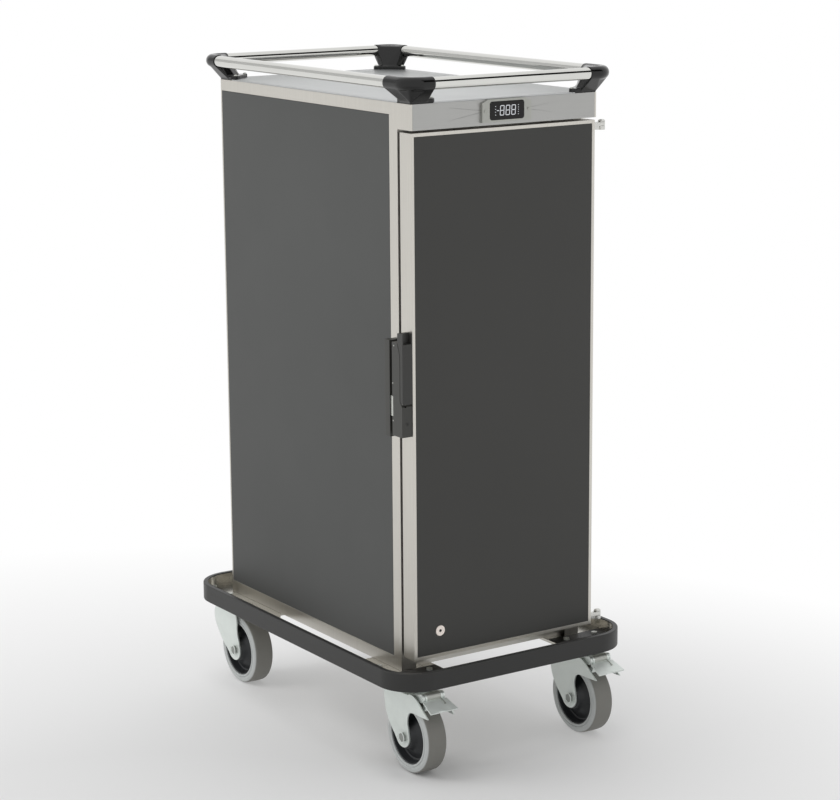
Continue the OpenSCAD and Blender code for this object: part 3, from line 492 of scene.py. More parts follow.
# The door's laminate is the side laminate painted darker, as shade on the door's front face.
DOOR_LAMINATE_SHADED = Laminate("door laminate with painted shade", shown(60, 60, 58), 0.50)
BUMPER_BLACK = Moulding("black bumper profile", shown(42, 42, 41), 0.44, 700.0, 0.00005, 0.06)
CORNER_BLACK = Moulding("glossy black gallery corner", shown(9, 9, 9), 0.16, 500.0, 0.00001, 0.02)
LATCH_BLACK = Moulding("satin black latch", shown(56, 56, 53), 0.42, 1100.0, 0.00003, 0.06)
LEVER_BLACK = Moulding("satin black lever", shown(50, 50, 48), 0.40, 1100.0, 0.00003, 0.06)
RIM_BLACK = Moulding("black wheel rim", shown(34, 36, 38), 0.40, 800.0, 0.00004, 0.04)
GASKET_BLACK = Moulding("soft gasket rubber", shown(34, 34, 34), 0.62, 1500.0, 0.00003)
MODULE_BLACK = Moulding("controller case", shown(30, 30, 30), 0.55, 900.0, 0.00005)
# The tread colour given here holds dirt and painted shade.
TYRE_GREY = TyreRubber("grey tyre rubber", shown(186, 189, 188), 0.58, shown(126, 125, 120))
WINDOW_DARK = WindowGlass("dark display window", shown(24, 23, 22), 0.14)
DIGIT_LIGHT = LitStrokes("lit display stroke", shown(176, 178, 182), 0.3)
WOOL = WoolBoard("mineral wool", shown(196, 186, 150), 0.95)


# ---------------------------------------------------------------- workshop


class Ring(NamedTuple):
    """One ring of a turned piece: how far along the axis, how far from it, and whether it is a hexagon."""

    along: float
    radius: float
    six_sided: bool = False


class Axis(Enum):
    """The axis that a turned piece is turned about, as the matrix that brings Z to it."""

    X = Matrix.Rotation(math.pi / 2, 4, "Y")
    LEFT = Matrix.Rotation(-math.pi / 2, 4, "Y")
    FRONT = Matrix.Rotation(math.pi / 2, 4, "X")
    Z = Matrix.Identity(4)


HEXAGON_TURN = math.pi / 3
SHADE_ANGLE = math.radians(28)
BEVEL_ANGLE = math.radians(32)
FLAT_FACE_WEIGHT = 100
WELD_DISTANCE = 0.01 * MM
SCREW_STEPS = 48
SPRING_STEPS = 64
RING_STEPS = 72
WHEEL_STEPS = 144
SQUARE = ((-1, -1), (1, -1), (1, 1), (-1, 1))


def shade_group() -> bpy.types.NodeTree:
    """The modifier group that shades a mesh smooth except at its real edges, made when first asked for."""
    found = bpy.data.node_groups.get("shade by angle")
    if found is not None:
        return found
    group = bpy.data.node_groups.new("shade by angle", "GeometryNodeTree")
    for way in ("INPUT", "OUTPUT"):
        group.interface.new_socket("Geometry", in_out=way, socket_type="NodeSocketGeometry")
    nodes = Nodes(group)
    start = nodes.node("NodeGroupInput")
    smooth = nodes.node("GeometryNodeSetShadeSmooth", Geometry=start.outputs[0])
    angle = nodes.node("GeometryNodeInputMeshEdgeAngle")
    steep = nodes.node("FunctionNodeCompare", data_type="FLOAT", operation="GREATER_THAN")
    nodes.put(steep.inputs[0], angle.outputs["Unsigned Angle"])
    nodes.put(steep.inputs[1], SHADE_ANGLE)
    sharp = nodes.node("GeometryNodeSetShadeSmooth", domain="EDGE", Geometry=smooth.outputs[0],
                       Selection=steep.outputs[0], Shade_Smooth=False)
    nodes.node("NodeGroupOutput", Geometry=sharp.outputs[0])
    return group


def shade(piece: bpy.types.Object) -> None:
    """Gives a piece smooth shading with crisp real edges and large faces that stay flat."""
    piece.modifiers.new("shading", "NODES").node_group = shade_group()
    flat = piece.modifiers.new("flat faces", "WEIGHTED_NORMAL")
    flat.keep_sharp = True
    flat.weight = FLAT_FACE_WEIGHT


def ease_edges(piece: bpy.types.Object, width: float, steps: int) -> None:
    """Rounds a piece's edges to a width in metres, with that many facets."""
    bevel = piece.modifiers.new("eased edges", "BEVEL")
    bevel.width = width
    bevel.segments = steps
    bevel.limit_method = "ANGLE"
    bevel.angle_limit = BEVEL_ANGLE
    bevel.use_clamp_overlap = True
    bevel.harden_normals = False


def dress(node: str, finish: Finish, ease: float = 0.0, steps: int = 2) -> str:
    """Gives a piece of the frame its finish and eased edges.

    Args:
        node: The piece's name in the frame.
        finish: Its finish.
        ease: Width of its rounded edges in metres, or 0 for sharp ones.
        steps: How many facets a rounded edge has.

    Returns:
        The piece's name.
    """
    piece = frame["nodes"][node]
    imported_shading = piece.data.attributes.get("custom_normal")
    if imported_shading is not None:
        piece.data.attributes.remove(imported_shading)
    piece.data.materials.clear()
    piece.data.materials.append(finish.material())
    piece.modifiers.new("weld", "WELD").merge_threshold = WELD_DISTANCE
    if ease > 0:
        ease_edges(piece, ease, steps)
    shade(piece)
    return node


def middle(node: str) -> Vector:
    """The middle of a frame piece's box."""
    low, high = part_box(node)
    return (low + high) / 2


def half_size(node: str) -> Vector:
    """Half the size of a frame piece's box."""
    low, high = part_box(node)
    return (high - low) / 2


def add_object(name: str, data: bpy.types.ID) -> bpy.types.Object:
    """Puts a mesh, a lamp or a camera into the scene."""
    made = bpy.data.objects.new(name, data)
    bpy.context.scene.collection.objects.link(made)
    return made


def add_mesh(name: str, shape: Shape, material: bpy.types.Material) -> bpy.types.Object:
    """Turns a shape, which is freed, into a mesh in the scene."""
    mesh = bpy.data.meshes.new(name)
    shape.to_mesh(mesh)
    shape.free()
    mesh.materials.append(material)
    return add_object(name, mesh)


def make_piece(name: str, shape: Shape, finish: Finish, body: str,
               at: Vector | None = None, stands_for: Iterable[str] = ()) -> str:
    """Turns a shape into a piece that rides on a body of the frame.

    Args:
        name: The piece's name.
        shape: Its shape, about its own origin; it is freed here.
        finish: Its finish.
        body: The body that it rides on.
        at: Where its origin goes, in metres.
        stands_for: Frame pieces that it replaces.

    Returns:
        The piece's name.
    """
    bmesh.ops.recalc_face_normals(shape, faces=shape.faces)
    piece = add_mesh(name, shape, finish.material())
    if at is not None:
        piece.location = at
    shade(piece)
    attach(piece, body)
    if stands_for:
        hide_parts(*stands_for)
    return name


Loop = Sequence[bmesh.types.BMVert]


def bridge(shape: Shape, here: Loop, there: Loop) -> None:
    """Joins two loops of corners with faces; where a loop is one point, the faces are triangles."""
    for i, corner in enumerate(here):
        j = (i + 1) % len(here)
        face = list(dict.fromkeys((corner, here[j], there[j], there[i])))
        if len(face) > 2:
            shape.faces.new(face)


def add_plate(shape: Shape, outline: Iterable[Vector], through: Vector) -> None:
    """Adds a flat plate to a shape.

    Args:
        shape: The shape.
        outline: The corners of its first face.
        through: The way from there to its other face.
    """
    corners = list(outline)
    near = [shape.verts.new(corner) for corner in corners]
    far = [shape.verts.new(corner + through) for corner in corners]
    shape.faces.new(near)
    shape.faces.new(list(reversed(far)))
    bridge(shape, near, far)


def turned(rings: Sequence[Ring], axis: Axis, steps: int = 96, shape: Shape | None = None,
           at: Vector | None = None) -> Shape:
    """A closed turned piece.

    Args:
        rings: The outline's rings in order round the section; a radius of 0 closes on the axis.
        axis: The axis that it is turned about.
        steps: How many facets it has round the axis.
        shape: A shape to add it to, or None for a new one.
        at: Where its origin goes in that shape.

    Returns:
        The shape.
    """
    shape = shape or bmesh.new()
    turn = Matrix.Translation(at or Vector()) @ axis.value
    loops = []
    for ring in rings:
        if ring.radius <= 0:
            loops.append([shape.verts.new(turn @ Vector((0, 0, ring.along)))] * steps)
            continue
        loop = []
        for step in range(steps):
            angle = 2 * math.pi * step / steps
            radius = ring.radius
            if ring.six_sided:
                radius *= math.cos(HEXAGON_TURN / 2) / math.cos(angle % HEXAGON_TURN - HEXAGON_TURN / 2)
            corner = Vector((radius * math.cos(angle), radius * math.sin(angle), ring.along))
            loop.append(shape.verts.new(turn @ corner))
        loops.append(loop)
    closed = all(ring.radius > 0 for ring in (rings[0], rings[-1]))
    for here, there in zip(loops, loops[1:] + loops[:1] if closed else loops[1:]):
        bridge(shape, here, there)
    return shape


def arc(centre: Point, radius: float, degrees: range) -> list[Point]:
    """Points on an arc, by their angles from the first axis towards the second."""
    turns = [math.radians(angle) for angle in degrees]
    return [(centre[0] + radius * math.cos(turn), centre[1] + radius * math.sin(turn)) for turn in turns]


def both_sides(side: Iterable[Point]) -> list[Ring]:
    """The rings of half a section and of its mirror image, which runs back to the start.

    Args:
        side: The half's corners, as how far along the axis and how far from it, in millimetres. A
            last one in the middle belongs to both halves.

    Returns:
        The rings of the whole section, in metres.
    """
    right = [Ring(along * MM, radius * MM) for along, radius in side]
    return right + [Ring(-ring.along, ring.radius) for ring in reversed(right) if ring.along > 0]


# ---------------------------------------------------------------- the cart


class Assembly(ABC):
    """A sub-assembly of the cart."""

    @abstractmethod
    def build(self) -> list[str]:
        """Dresses the frame's pieces and makes the finer ones.

        Returns:
            The names of all of them.
        """


@dataclass
class Chassis(Assembly):
    """Base frame, castor platforms with their bolts and heads, and the bumper on its carrier.

    Attributes:
        fold: Rounding of folded sheet, in metres.
        bumper_edge: Rounding of the bumper profile, in metres.
        shade_sheet: Thickness of the black sheets on the front platforms, which are painted shade.
        shade_sheet_corner: Radius of a sheet's outer corner.
        shade_sheet_gap: Distance from a sheet to the edge of its platform.
    """

    fold: float = 1.0 * MM
    bumper_edge: float = 3.0 * MM
    shade_sheet: float = 1.2 * MM
    shade_sheet_corner: float = 62.0 * MM
    shade_sheet_gap: float = 3.0 * MM

    def build(self) -> list[str]:
        """Dresses the pieces and makes the black sheets of painted shade on the front platforms."""
        return [
            dress("base_frame", FRAME_STEEL, self.fold),
            dress("castor_platforms", PLATFORM_STEEL, 0.8 * MM),
            dress("castor_bolts", BOLT_ZINC, 0.4 * MM),
            dress("castor_heads", FORK_ZINC, 0.6 * MM),
            dress("bumper_carrier", PLATFORM_STEEL, 0.4 * MM),
            dress("bumper", BUMPER_BLACK, self.bumper_edge, 4),
            self.shade_sheets(),
        ]

    def shade_sheets(self) -> str:
        """Makes the black sheets that cover the two front platforms ahead of the cabinet, as painted shade.

        Returns:
            The piece's name.
        """
        low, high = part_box("castor_platforms")
        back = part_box("front_frame")[0].y - self.shade_sheet_gap
        inner = min(abs(v.co.x) for v in frame["nodes"]["castor_platforms"].data.vertices) + self.shade_sheet_gap
        outer, front = high.x - self.shade_sheet_gap, low.y + self.shade_sheet_gap
        r = self.shade_sheet_corner
        bend = arc((outer - r, front + r), r, range(-90, 1, 6))
        outline = [(inner, front), *bend, (outer, back), (inner, back)]
        # The black sheets are painted shade on the bright front platforms.
        shape = bmesh.new()
        for way in (1, -1):
            add_plate(shape, [Vector((way * x, y, high.z)) for x, y in outline], Vector((0, 0, self.shade_sheet)))
        return make_piece("platform_shade_sheets", shape, BUMPER_BLACK, "cabinet")


@dataclass
class Cabinet(Assembly):
    """Shells, laminate, deck, header, door surround, insulation, liner, rack and the fixed halves of
    the hinges, latch and hold-open.

    Attributes:
        shell_edge: Rounding of the outer shells, in metres.
        sheet_edge: Rounding of plain sheet edges, in metres.
    """

    shell_edge: float = 0.7 * MM
    sheet_edge: float = 0.3 * MM

    def build(self) -> list[str]:
        """Dresses the pieces."""
        return [
            dress("side_shell_left", CABINET_STEEL, self.shell_edge),
            dress("side_shell_right", CABINET_STEEL, self.shell_edge),
            dress("back_shell", CABINET_STEEL, self.sheet_edge),
            dress("laminate_panels", SIDE_LAMINATE, self.sheet_edge),
            dress("top_deck", DECK_STEEL, self.sheet_edge * 3),
            dress("header", HEADER_STEEL_SHADED, self.sheet_edge * 2),
            dress("front_frame", CABINET_STEEL, self.sheet_edge),
            dress("insulation_boards", WOOL),
            dress("liner_sheets", LINER_STEEL, self.sheet_edge),
            dress("rack_posts", RUNNER_STEEL, self.shell_edge),
            dress("tray_runners", RUNNER_STEEL, self.shell_edge),
            dress("hinge_brackets", HINGE_STEEL, 0.6 * MM),
            dress("hinge_pins", HINGE_STEEL, 0.4 * MM),
            dress("latch_keeper", LATCH_BLACK, 0.7 * MM),
            dress("hold_open_catch", BOLT_ZINC, 0.5 * MM),
        ]


@dataclass(frozen=True)
class Screw:
    """A low domed screw with a six-sided socket.

    Attributes:
        radius: Radius of the head.
        height: Height of the head.
    """

    radius: float
    height: float

    def add_to(self, shape: Shape, axis: Axis, at: Vector) -> None:
        """Adds the head to a shape.

        Args:
            shape: The shape.
            axis: The way the head points.
            at: The middle of the head's underside.
        """
        dome = [(0, 0), (0, 1), (0.35, 1), (0.62, 0.93), (0.84, 0.78), (0.96, 0.6), (1, 0.4704)]
        socket = [(0.94, 0.42), (0.3, 0.4032), (0.22, 0)]
        rings = [Ring(self.height * up, self.radius * out) for up, out in dome]
        rings += [Ring(self.height * up, self.radius * out, out > 0) for up, out in socket]
        turned(rings, axis, SCREW_STEPS, shape, at)


@dataclass
class Thermometer(Assembly):
    """The display in the header: bezel, window, lit digits, screws, controller and probe.

    Attributes:
        digit_width: Width of a digit.
        digit_height: Height of a digit.
        digit_step: Distance from one digit to the next.
        stroke: Width of a lit stroke.
        stroke_gap: Dark gap at each end of a stroke.
        slant: How far a digit leans over its own height.
        first_digit: Middle of the left digit from the window's middle.
        minus: Middle of the minus sign from the left digit, in digit steps, and half its length in
            digit widths.
        mark: Half the width and height of a small status mark.
        marks: Where the marks stand: digit steps from the left digit, and levels in digit heights.
        screw: The screws that hold the bezel.
        screw_in: How far these stand in from the bezel's ends and behind its face.
    """

    digit_width: float = 10.5 * MM
    digit_height: float = 20.5 * MM
    digit_step: float = 14.2 * MM
    stroke: float = 1.45 * MM
    stroke_gap: float = 0.15 * MM
    slant: float = 0.06
    first_digit: float = -12.5 * MM
    minus: Point = (-0.72, 0.3)
    mark: Point = (0.95 * MM, 0.57 * MM)
    marks: tuple[tuple[float, tuple[float, ...]], ...] = (
        (-1.15, (-0.42, -0.14, 0.14, 0.42)), (2.85, (-0.45, -0.22, 0.0, 0.22, 0.45)),
    )
    screw: Screw = Screw(2.2 * MM, 1.2 * MM)
    screw_in: Point = (7.5 * MM, 1.2 * MM)

    def build(self) -> list[str]:
        """Dresses the frame's pieces and makes the digits and screws."""
        return [
            dress("display_bezel", BEZEL_ZINC, 0.5 * MM),
            dress("display_window", WINDOW_DARK, 0.1 * MM),
            dress("thermometer_module", MODULE_BLACK, 0.8 * MM),
            dress("temperature_probe", BOLT_ZINC, 0.3 * MM),
            self.digits(),
            self.screws(),
        ]

    def plate(self, shape: Shape, outline: Iterable[Point]) -> None:
        """Adds a lit plate with an outline in X and Z, as deep as the frame's digits are."""
        low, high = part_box("display_digits")
        front = low.y - middle("display_window").y
        add_plate(shape, [Vector((x, front, z)) for x, z in outline], Vector((0, high.y - low.y, 0)))

    def bar(self, shape: Shape, centre: Point, half: float, upright: bool = False) -> None:
        """Adds one lit stroke with pointed ends.

        Args:
            shape: The shape.
            centre: The stroke's middle in X and Z, from the window's middle.
            half: Half its length.
            upright: Whether it stands.
        """
        t = self.stroke / 2
        outline = [(-half, 0.0), (t - half, t), (half - t, t), (half, 0.0), (half - t, -t), (t - half, -t)]
        if upright:
            outline = [(z, x) for x, z in outline]
        placed = [(x + centre[0], z + centre[1]) for x, z in outline]
        self.plate(shape, [(x + z * self.slant, z) for x, z in placed])

    def eight(self, shape: Shape, x: float) -> None:
        """Adds a digit with all seven strokes lit."""
        reach_x = (self.digit_width - self.stroke) / 2
        reach_z = (self.digit_height - self.stroke) / 2
        for z in (-reach_z, 0.0, reach_z):
            self.bar(shape, (x, z), reach_x - self.stroke_gap)
        for side in (-1, 1):
            for level in (-0.5, 0.5):
                self.bar(shape, (x + side * reach_x, level * reach_z), reach_z / 2 - self.stroke_gap, True)

    def digits(self) -> str:
        """Makes the lit digits, the minus sign and the status marks.

        Returns:
            The piece's name.
        """
        shape = bmesh.new()
        for i in range(3):
            self.eight(shape, self.first_digit + i * self.digit_step)
        place, half = self.minus
        self.bar(shape, (self.first_digit + place * self.digit_step, 0.0), half * self.digit_width)
        wide, tall = self.mark
        for step, levels in self.marks:
            x = self.first_digit + step * self.digit_step
            for level in levels:
                z = level * self.digit_height
                self.plate(shape, [(x + i * wide, z + j * tall) for i, j in SQUARE])
        return make_piece("display_strokes", shape, DIGIT_LIGHT, "cabinet",
                          middle("display_window"), ["display_digits"])

    def screws(self) -> str:
        """Makes the two screws that hold the bezel.

        Returns:
            The piece's name.
        """
        low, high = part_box("display_bezel")
        from_end, behind = self.screw_in
        shape = bmesh.new()
        for x in (low.x + from_end, high.x - from_end):
            self.screw.add_to(shape, Axis.FRONT, Vector((x, low.y + behind, (low.z + high.z) / 2)))
        return make_piece("bezel_screws", shape, DARK_STEEL, "cabinet")


@dataclass
class Gallery(Assembly):
    """The tube rail round the top, its corner castings and their screws.

    Attributes:
        grid: Size of the cells that round the castings off, in metres.
        blend: How many rounds of smoothing the castings get.
        pull: How far each round moves a corner towards its neighbours' middle, as a share.
        screw: The screws that hold the castings.
        spots: Where the screws stand from a deck corner, along X and Y.
    """

    grid: float = 1.15 * MM
    blend: int = 8
    pull: float = 0.5
    screw: Screw = Screw(4.0 * MM, 2.5 * MM)
    spots: tuple[Point, Point] = ((56.5 * MM, 10.0 * MM), (10.0 * MM, 51.5 * MM))

    def build(self) -> list[str]:
        """Dresses the rail and castings and makes the screws."""
        return [dress("gallery_tubes", RAIL_STEEL), self.castings(), self.screws()]

    def castings(self) -> str:
        """Rounds the corner castings off, as die casting leaves them.

        Returns:
            The piece's name.
        """
        piece = frame["nodes"][dress("gallery_corners", CORNER_BLACK)]
        for name in ("shading", "flat faces"):
            piece.modifiers.remove(piece.modifiers[name])
        cells = piece.modifiers.new("casting skin", "REMESH")
        cells.mode = "VOXEL"
        cells.voxel_size = self.grid
        cells.use_smooth_shade = True
        smooth = piece.modifiers.new("casting radii", "SMOOTH")
        smooth.factor = self.pull
        smooth.iterations = self.blend
        return piece.name

    def screws(self) -> str:
        """Makes the eight screws in the castings' feet.

        Returns:
            The piece's name.
        """
        deck_low, deck_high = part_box("top_deck")
        head_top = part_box("gallery_screws")[1].z
        shape = bmesh.new()
        for edge_x, way_x in ((deck_low.x, 1), (deck_high.x, -1)):
            for edge_y, way_y in ((deck_low.y, 1), (deck_high.y, -1)):
                for x, y in self.spots:
                    at = Vector((edge_x + way_x * x, edge_y + way_y * y, head_top - self.screw.height))
                    self.screw.add_to(shape, Axis.Z, at)
        return make_piece("casting_screws", shape, BOLT_ZINC, "cabinet",
                          stands_for=["gallery_screws"])


@dataclass
class Door(Assembly):
    """The door: skin, laminate, insulation, liner, gasket, hinge arms and hold-open stud.

    Attributes:
        skin_edge: Rounding of the folded skin, in metres.
        socket_radius: Outer radius of the socket in the stud.
        socket_depth: How far the socket lies behind the stud's face.
        socket_section: The socket's rings: millimetres towards the front, share of the radius, and
            whether it is a hexagon.
        section: The gasket's section: millimetres in from its edge, and how far out from the liner
            as a share of its depth.
    """

    skin_edge: float = 0.7 * MM
    socket_radius: float = 3.2 * MM
    socket_depth: float = 0.9 * MM
    socket_section: tuple[tuple[float, float, bool], ...] = (
        (-1.6, 0, False), (-1.6, 1, False), (0.5, 1, False),
        (0.5, 0.78, True), (-0.6, 0.74, True), (-0.6, 0, False),
    )
    section: tuple[Point, ...] = (
        (0.4, 0.0), (0.2, 0.16), (1.8, 0.22), (2.6, 0.34), (1.2, 0.46), (0.8, 0.62), (1.2, 0.86),
        (2.4, 0.98), (5.0, 1.0), (8.0, 0.97), (11.2, 1.0), (12.8, 0.9), (13.2, 0.62), (12.6, 0.46),
        (11.0, 0.34), (12.0, 0.22), (13.8, 0.16), (13.6, 0.0),
    )

    def build(self) -> list[str]:
        """Dresses the frame's pieces and makes the gasket and the dark plug of painted shade in the stud."""
        return [
            dress("door_skin", CABINET_STEEL, self.skin_edge),
            dress("door_laminate", DOOR_LAMINATE_SHADED, 0.3 * MM),
            dress("door_insulation", WOOL),
            dress("door_liner", LINER_STEEL, 0.5 * MM),
            dress("door_hinge_arms", HINGE_STEEL, 0.8 * MM),
            dress("door_stud", STUD_STEEL, 0.6 * MM, 3),
            self.stud_bore_shade(),
            self.gasket(),
        ]

    def stud_bore_shade(self) -> str:
        """Makes the dark plug with a six-sided pocket in the middle of the hold-open stud; its blackened
        colour is painted shade for the stud's bore.

        Returns:
            The piece's name.
        """
        low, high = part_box("door_stud")
        face = Vector(((low.x + high.x) / 2, low.y + self.socket_depth, (low.z + high.z) / 2))
        rings = [Ring(along * MM, share * self.socket_radius, six)
                 for along, share, six in self.socket_section]
        # The blackened plug is painted shade inside the stud's bore.
        shape = turned(rings, Axis.FRONT, SCREW_STEPS, at=face)
        return make_piece("stud_bore_shade", shape, DARK_STEEL, "door")

    def gasket(self) -> str:
        """Makes the folded gasket, mitred at its four corners.

        Returns:
            The piece's name.
        """
        low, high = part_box("door_gasket")
        depth = high.y - low.y
        shape = bmesh.new()
        loops = []
        for way_x, way_z in SQUARE:
            x = low.x if way_x < 0 else high.x
            z = low.z if way_z < 0 else high.z
            loops.append([
                shape.verts.new((x - way_x * inward * MM, low.y + out * depth, z - way_z * inward * MM))
                for inward, out in self.section
            ])
        for here, there in zip(loops, loops[1:] + loops[:1]):
            bridge(shape, here, there)
        return make_piece("folded_gasket", shape, GASKET_BLACK, "door",
                          stands_for=["door_gasket"])


@dataclass
class Latch(Assembly):
    """The latch on the door's edge: housing, lever, tongue, spring, pin and lock.

    Attributes:
        edge: Rounding of the housing, in metres.
        screw: The small screws in the housing's side.
        beside_tongue: How far the two rear screws stand above and below the tongue.
        from_back: How far they stand from the housing's back.
        third: How far the third screw stands from the housing's back and below its top.
    """

    edge: float = 0.9 * MM
    screw: Screw = Screw(1.5 * MM, 0.5 * MM)
    beside_tongue: float = 8.0 * MM
    from_back: float = 2.6 * MM
    third: Point = (7.6 * MM, 7.0 * MM)

    def build(self) -> list[str]:
        """Dresses the pieces and makes the side screws."""
        return [
            dress("latch_housing", LATCH_BLACK, self.edge, 3),
            dress("latch_lever", LEVER_BLACK, self.edge, 3),
            dress("latch_tongue", BOLT_ZINC, 0.4 * MM),
            dress("latch_pivot_pin", BOLT_ZINC, 0.3 * MM),
            dress("latch_spring", BOLT_ZINC),
            dress("lock_cylinder", DARK_STEEL, 0.3 * MM),
            self.side_screws(),
        ]

    def side_screws(self) -> str:
        """Makes the three small screws in the housing's outer side.

        Returns:
            The piece's name.
        """
        low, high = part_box("latch_housing")
        tongue_low, tongue_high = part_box("latch_tongue")
        rear = high.y - self.from_back
        spots = [(rear, tongue_low.z - self.beside_tongue), (rear, tongue_high.z + self.beside_tongue),
                 (high.y - self.third[0], high.z - self.third[1])]
        shape = bmesh.new()
        for y, z in spots:
            self.screw.add_to(shape, Axis.LEFT, Vector((low.x, y, z)))
        return make_piece("latch_side_screws", shape, BOLT_ZINC, "door")


@dataclass
class Castor(Assembly):
    """One castor: fork, axle, rim and tyre, and on the front ones a brake pedal.

    Attributes:
        spot: Which corner it stands at: fl, fr, bl or br.
        braked: Whether it has a brake pedal.
        bead: The tyre's side, in millimetres in from its flank and out from the rim.
        shoulder: Radius of the tyre's shoulder, and how far its middle lies in from the flank and
            from the tread, in millimetres.
        tread: The tread, in millimetres in from the flank and from its highest line.
        bore: Radius of the rim's bore, in millimetres.
        roll_radius: Radius of the pedal's roll.
        roll_behind: Distance from the pedal's back to the middle of the roll.
        wire: Thickness of the spring wire that is wound round the roll.
        winding: Section of one turn: where along the wire's thickness, and how far out as a share.
        wound: Half the length of the winding.
        leg: Length of the wire's leg on the plate.
        sink: How deep the leg lies in the plate's face.
        tuck: How far under the roll the leg starts, as a share of the roll's radius.
        hook: Width of the hook at the leg's end, in thicknesses of the wire.
        plate_slope: Slope of the pedal's plate, in degrees.
        washer: Inner and outer radius of the ring pressed round the axle's end, and its height.
        washer_edge: Rounding of that ring's outer and inner edge.
        rest: Air between a piece and the one that it lies on.
    """

    spot: str
    braked: bool
    bead: tuple[Point, ...] = (
        (3.0, 0.0), (0.7, 0.5), (0.1, 1.1), (0.0, 2.0), (0.0, 4.4), (0.9, 4.9), (1.8, 5.7), (0.9, 6.5),
        (0.2, 7.1), (0.7, 12.4), (1.3, 12.9),
    )
    shoulder: tuple[float, float, float] = (6.0, 7.4, 6.5)
    tread: tuple[Point, ...] = ((10.0, 0.25), (16.0, 0.08))
    bore: float = 16.0
    roll_radius: float = 9.5 * MM
    roll_behind: float = 11.6 * MM
    wire: float = 1.7 * MM
    winding: tuple[Point, ...] = ((0.05, 0.0), (0.22, 0.32), (0.5, 0.46), (0.78, 0.32), (0.95, 0.0))
    wound: float = 17.0 * MM
    leg: float = 20.0 * MM
    sink: float = 0.2 * MM
    tuck: float = 0.6
    hook: float = 2.4
    plate_slope: float = 20.3
    washer: tuple[float, float, float] = (10.4 * MM, 12.6 * MM, 0.9 * MM)
    washer_edge: Point = (0.4 * MM, 0.3 * MM)
    rest: float = 0.02 * MM

    def build(self) -> list[str]:
        """Dresses the frame's pieces and makes the tyre, the rim, the washers and the pedal's spring."""
        made = [
            dress(f"castor_fork_{self.spot}", FORK_ZINC, 1.1 * MM, 3),
            dress(f"castor_axle_{self.spot}", AXLE_STEEL, 0.5 * MM),
            self.tyre(),
            self.rim(),
            self.washers(),
        ]
        if self.braked:
            made.append(dress(f"brake_pedal_{self.spot}", FORK_ZINC, 0.5 * MM))
            made.append(self.pedal_spring())
        return made

    def tyre(self) -> str:
        """Makes the tyre, with a bead, a fine side groove and round shoulders.

        Returns:
            The piece's name.
        """
        node = f"wheel_tyre_{self.spot}"
        half, _, outer = half_size(node) / MM
        seat = half_size(f"wheel_rim_{self.spot}").z / MM
        bend, in_x, in_z = self.shoulder
        side = [(half - inward, seat + out) for inward, out in self.bead]
        side += arc((half - in_x, outer - in_z), bend, range(8, 79, 14))
        side += [(half - inward, outer - down) for inward, down in self.tread] + [(0.0, outer)]
        shape = turned(both_sides(side), Axis.X, WHEEL_STEPS)
        return make_piece(f"tyre_{self.spot}", shape, TYRE_GREY, f"wheel_{self.spot}",
                          middle(node), [node])

    def rim(self) -> str:
        """Makes the dished rim with its hub rings.

        Returns:
            The piece's name.
        """
        node = f"wheel_rim_{self.spot}"
        half, _, outer = half_size(node) / MM
        lip = half_size(f"wheel_tyre_{self.spot}").x / MM - self.bead[0][0]
        side = [
            (lip, outer), (lip, outer - 1.6), (lip - 0.9, outer - 2.6), (lip - 9.0, outer - 5.2),
            (8.6, outer - 7.4), (7.4, outer - 9.8), (8.2, 46.0), (half - 14.0, 35.0), (half - 13.2, 33.0),
            (half - 11.0, 30.4), (half - 8.4, 29.0), (half - 6.0, 27.6), (half - 1.0, 25.4),
            (half - 0.2, 24.4), (half, 23.4), (half, 21.0), (half - 1.2, 20.0), (half - 1.2, self.bore),
        ]
        shape = turned(both_sides(side), Axis.X, WHEEL_STEPS)
        return make_piece(f"rim_{self.spot}", shape, RIM_BLACK, f"wheel_{self.spot}",
                          middle(node), [node])

    def washers(self) -> str:
        """Makes the raised rings on the fork's cheeks, round both ends of the axle.

        Returns:
            The piece's name.
        """
        hole, edge, height = self.washer
        outer, inner = self.washer_edge
        shape = bmesh.new()
        for way in (1, -1):
            face = way * (half_size(f"castor_fork_{self.spot}").x + self.rest)
            top = face + way * height
            rings = [Ring(face, hole), Ring(face, edge), Ring(top - way * outer, edge),
                     Ring(top, edge - outer), Ring(top, hole + inner), Ring(top - way * inner, hole)]
            turned(rings, Axis.X, RING_STEPS, shape)
        return make_piece(f"axle_washers_{self.spot}", shape, FORK_ZINC, f"castor_{self.spot}",
                          middle(f"wheel_rim_{self.spot}"))

    def pedal_spring(self) -> str:
        """Makes the spring that is wound round the pedal's roll, with its leg along the plate.

        Returns:
            The piece's name.
        """
        low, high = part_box(f"brake_pedal_{self.spot}")
        at = Vector(((low.x + high.x) / 2, high.y - self.roll_behind, high.z - self.roll_radius))
        radius = self.roll_radius + self.rest
        outline = [Ring(-self.wound, radius)]
        for i in range(int(2 * self.wound / self.wire)):
            outline += [Ring(-self.wound + (i + along) * self.wire, radius + out * self.wire / 2)
                        for along, out in self.winding]
        outline.append(Ring(self.wound, radius))
        shape = turned(outline, Axis.X, SPRING_STEPS)
        down = Matrix.Rotation(math.radians(self.plate_slope), 4, "X")
        end, low_z, high_z = -self.roll_radius - self.leg, -self.sink, self.wire - 2 * self.sink
        for width, stop in ((1.0, -self.roll_radius * self.tuck), (self.hook, end + self.wire)):
            section = ((end, low_z), (stop, low_z), (stop, high_z), (end, high_z))
            add_plate(shape, [down @ Vector((self.wound, y, z)) for y, z in section],
                      Vector((-self.wire * width, 0, 0)))
        return make_piece(f"pedal_spring_{self.spot}", shape, SPRING_STEEL, f"brake_{self.spot}",
                          at)


# ---------------------------------------------------------------- studio


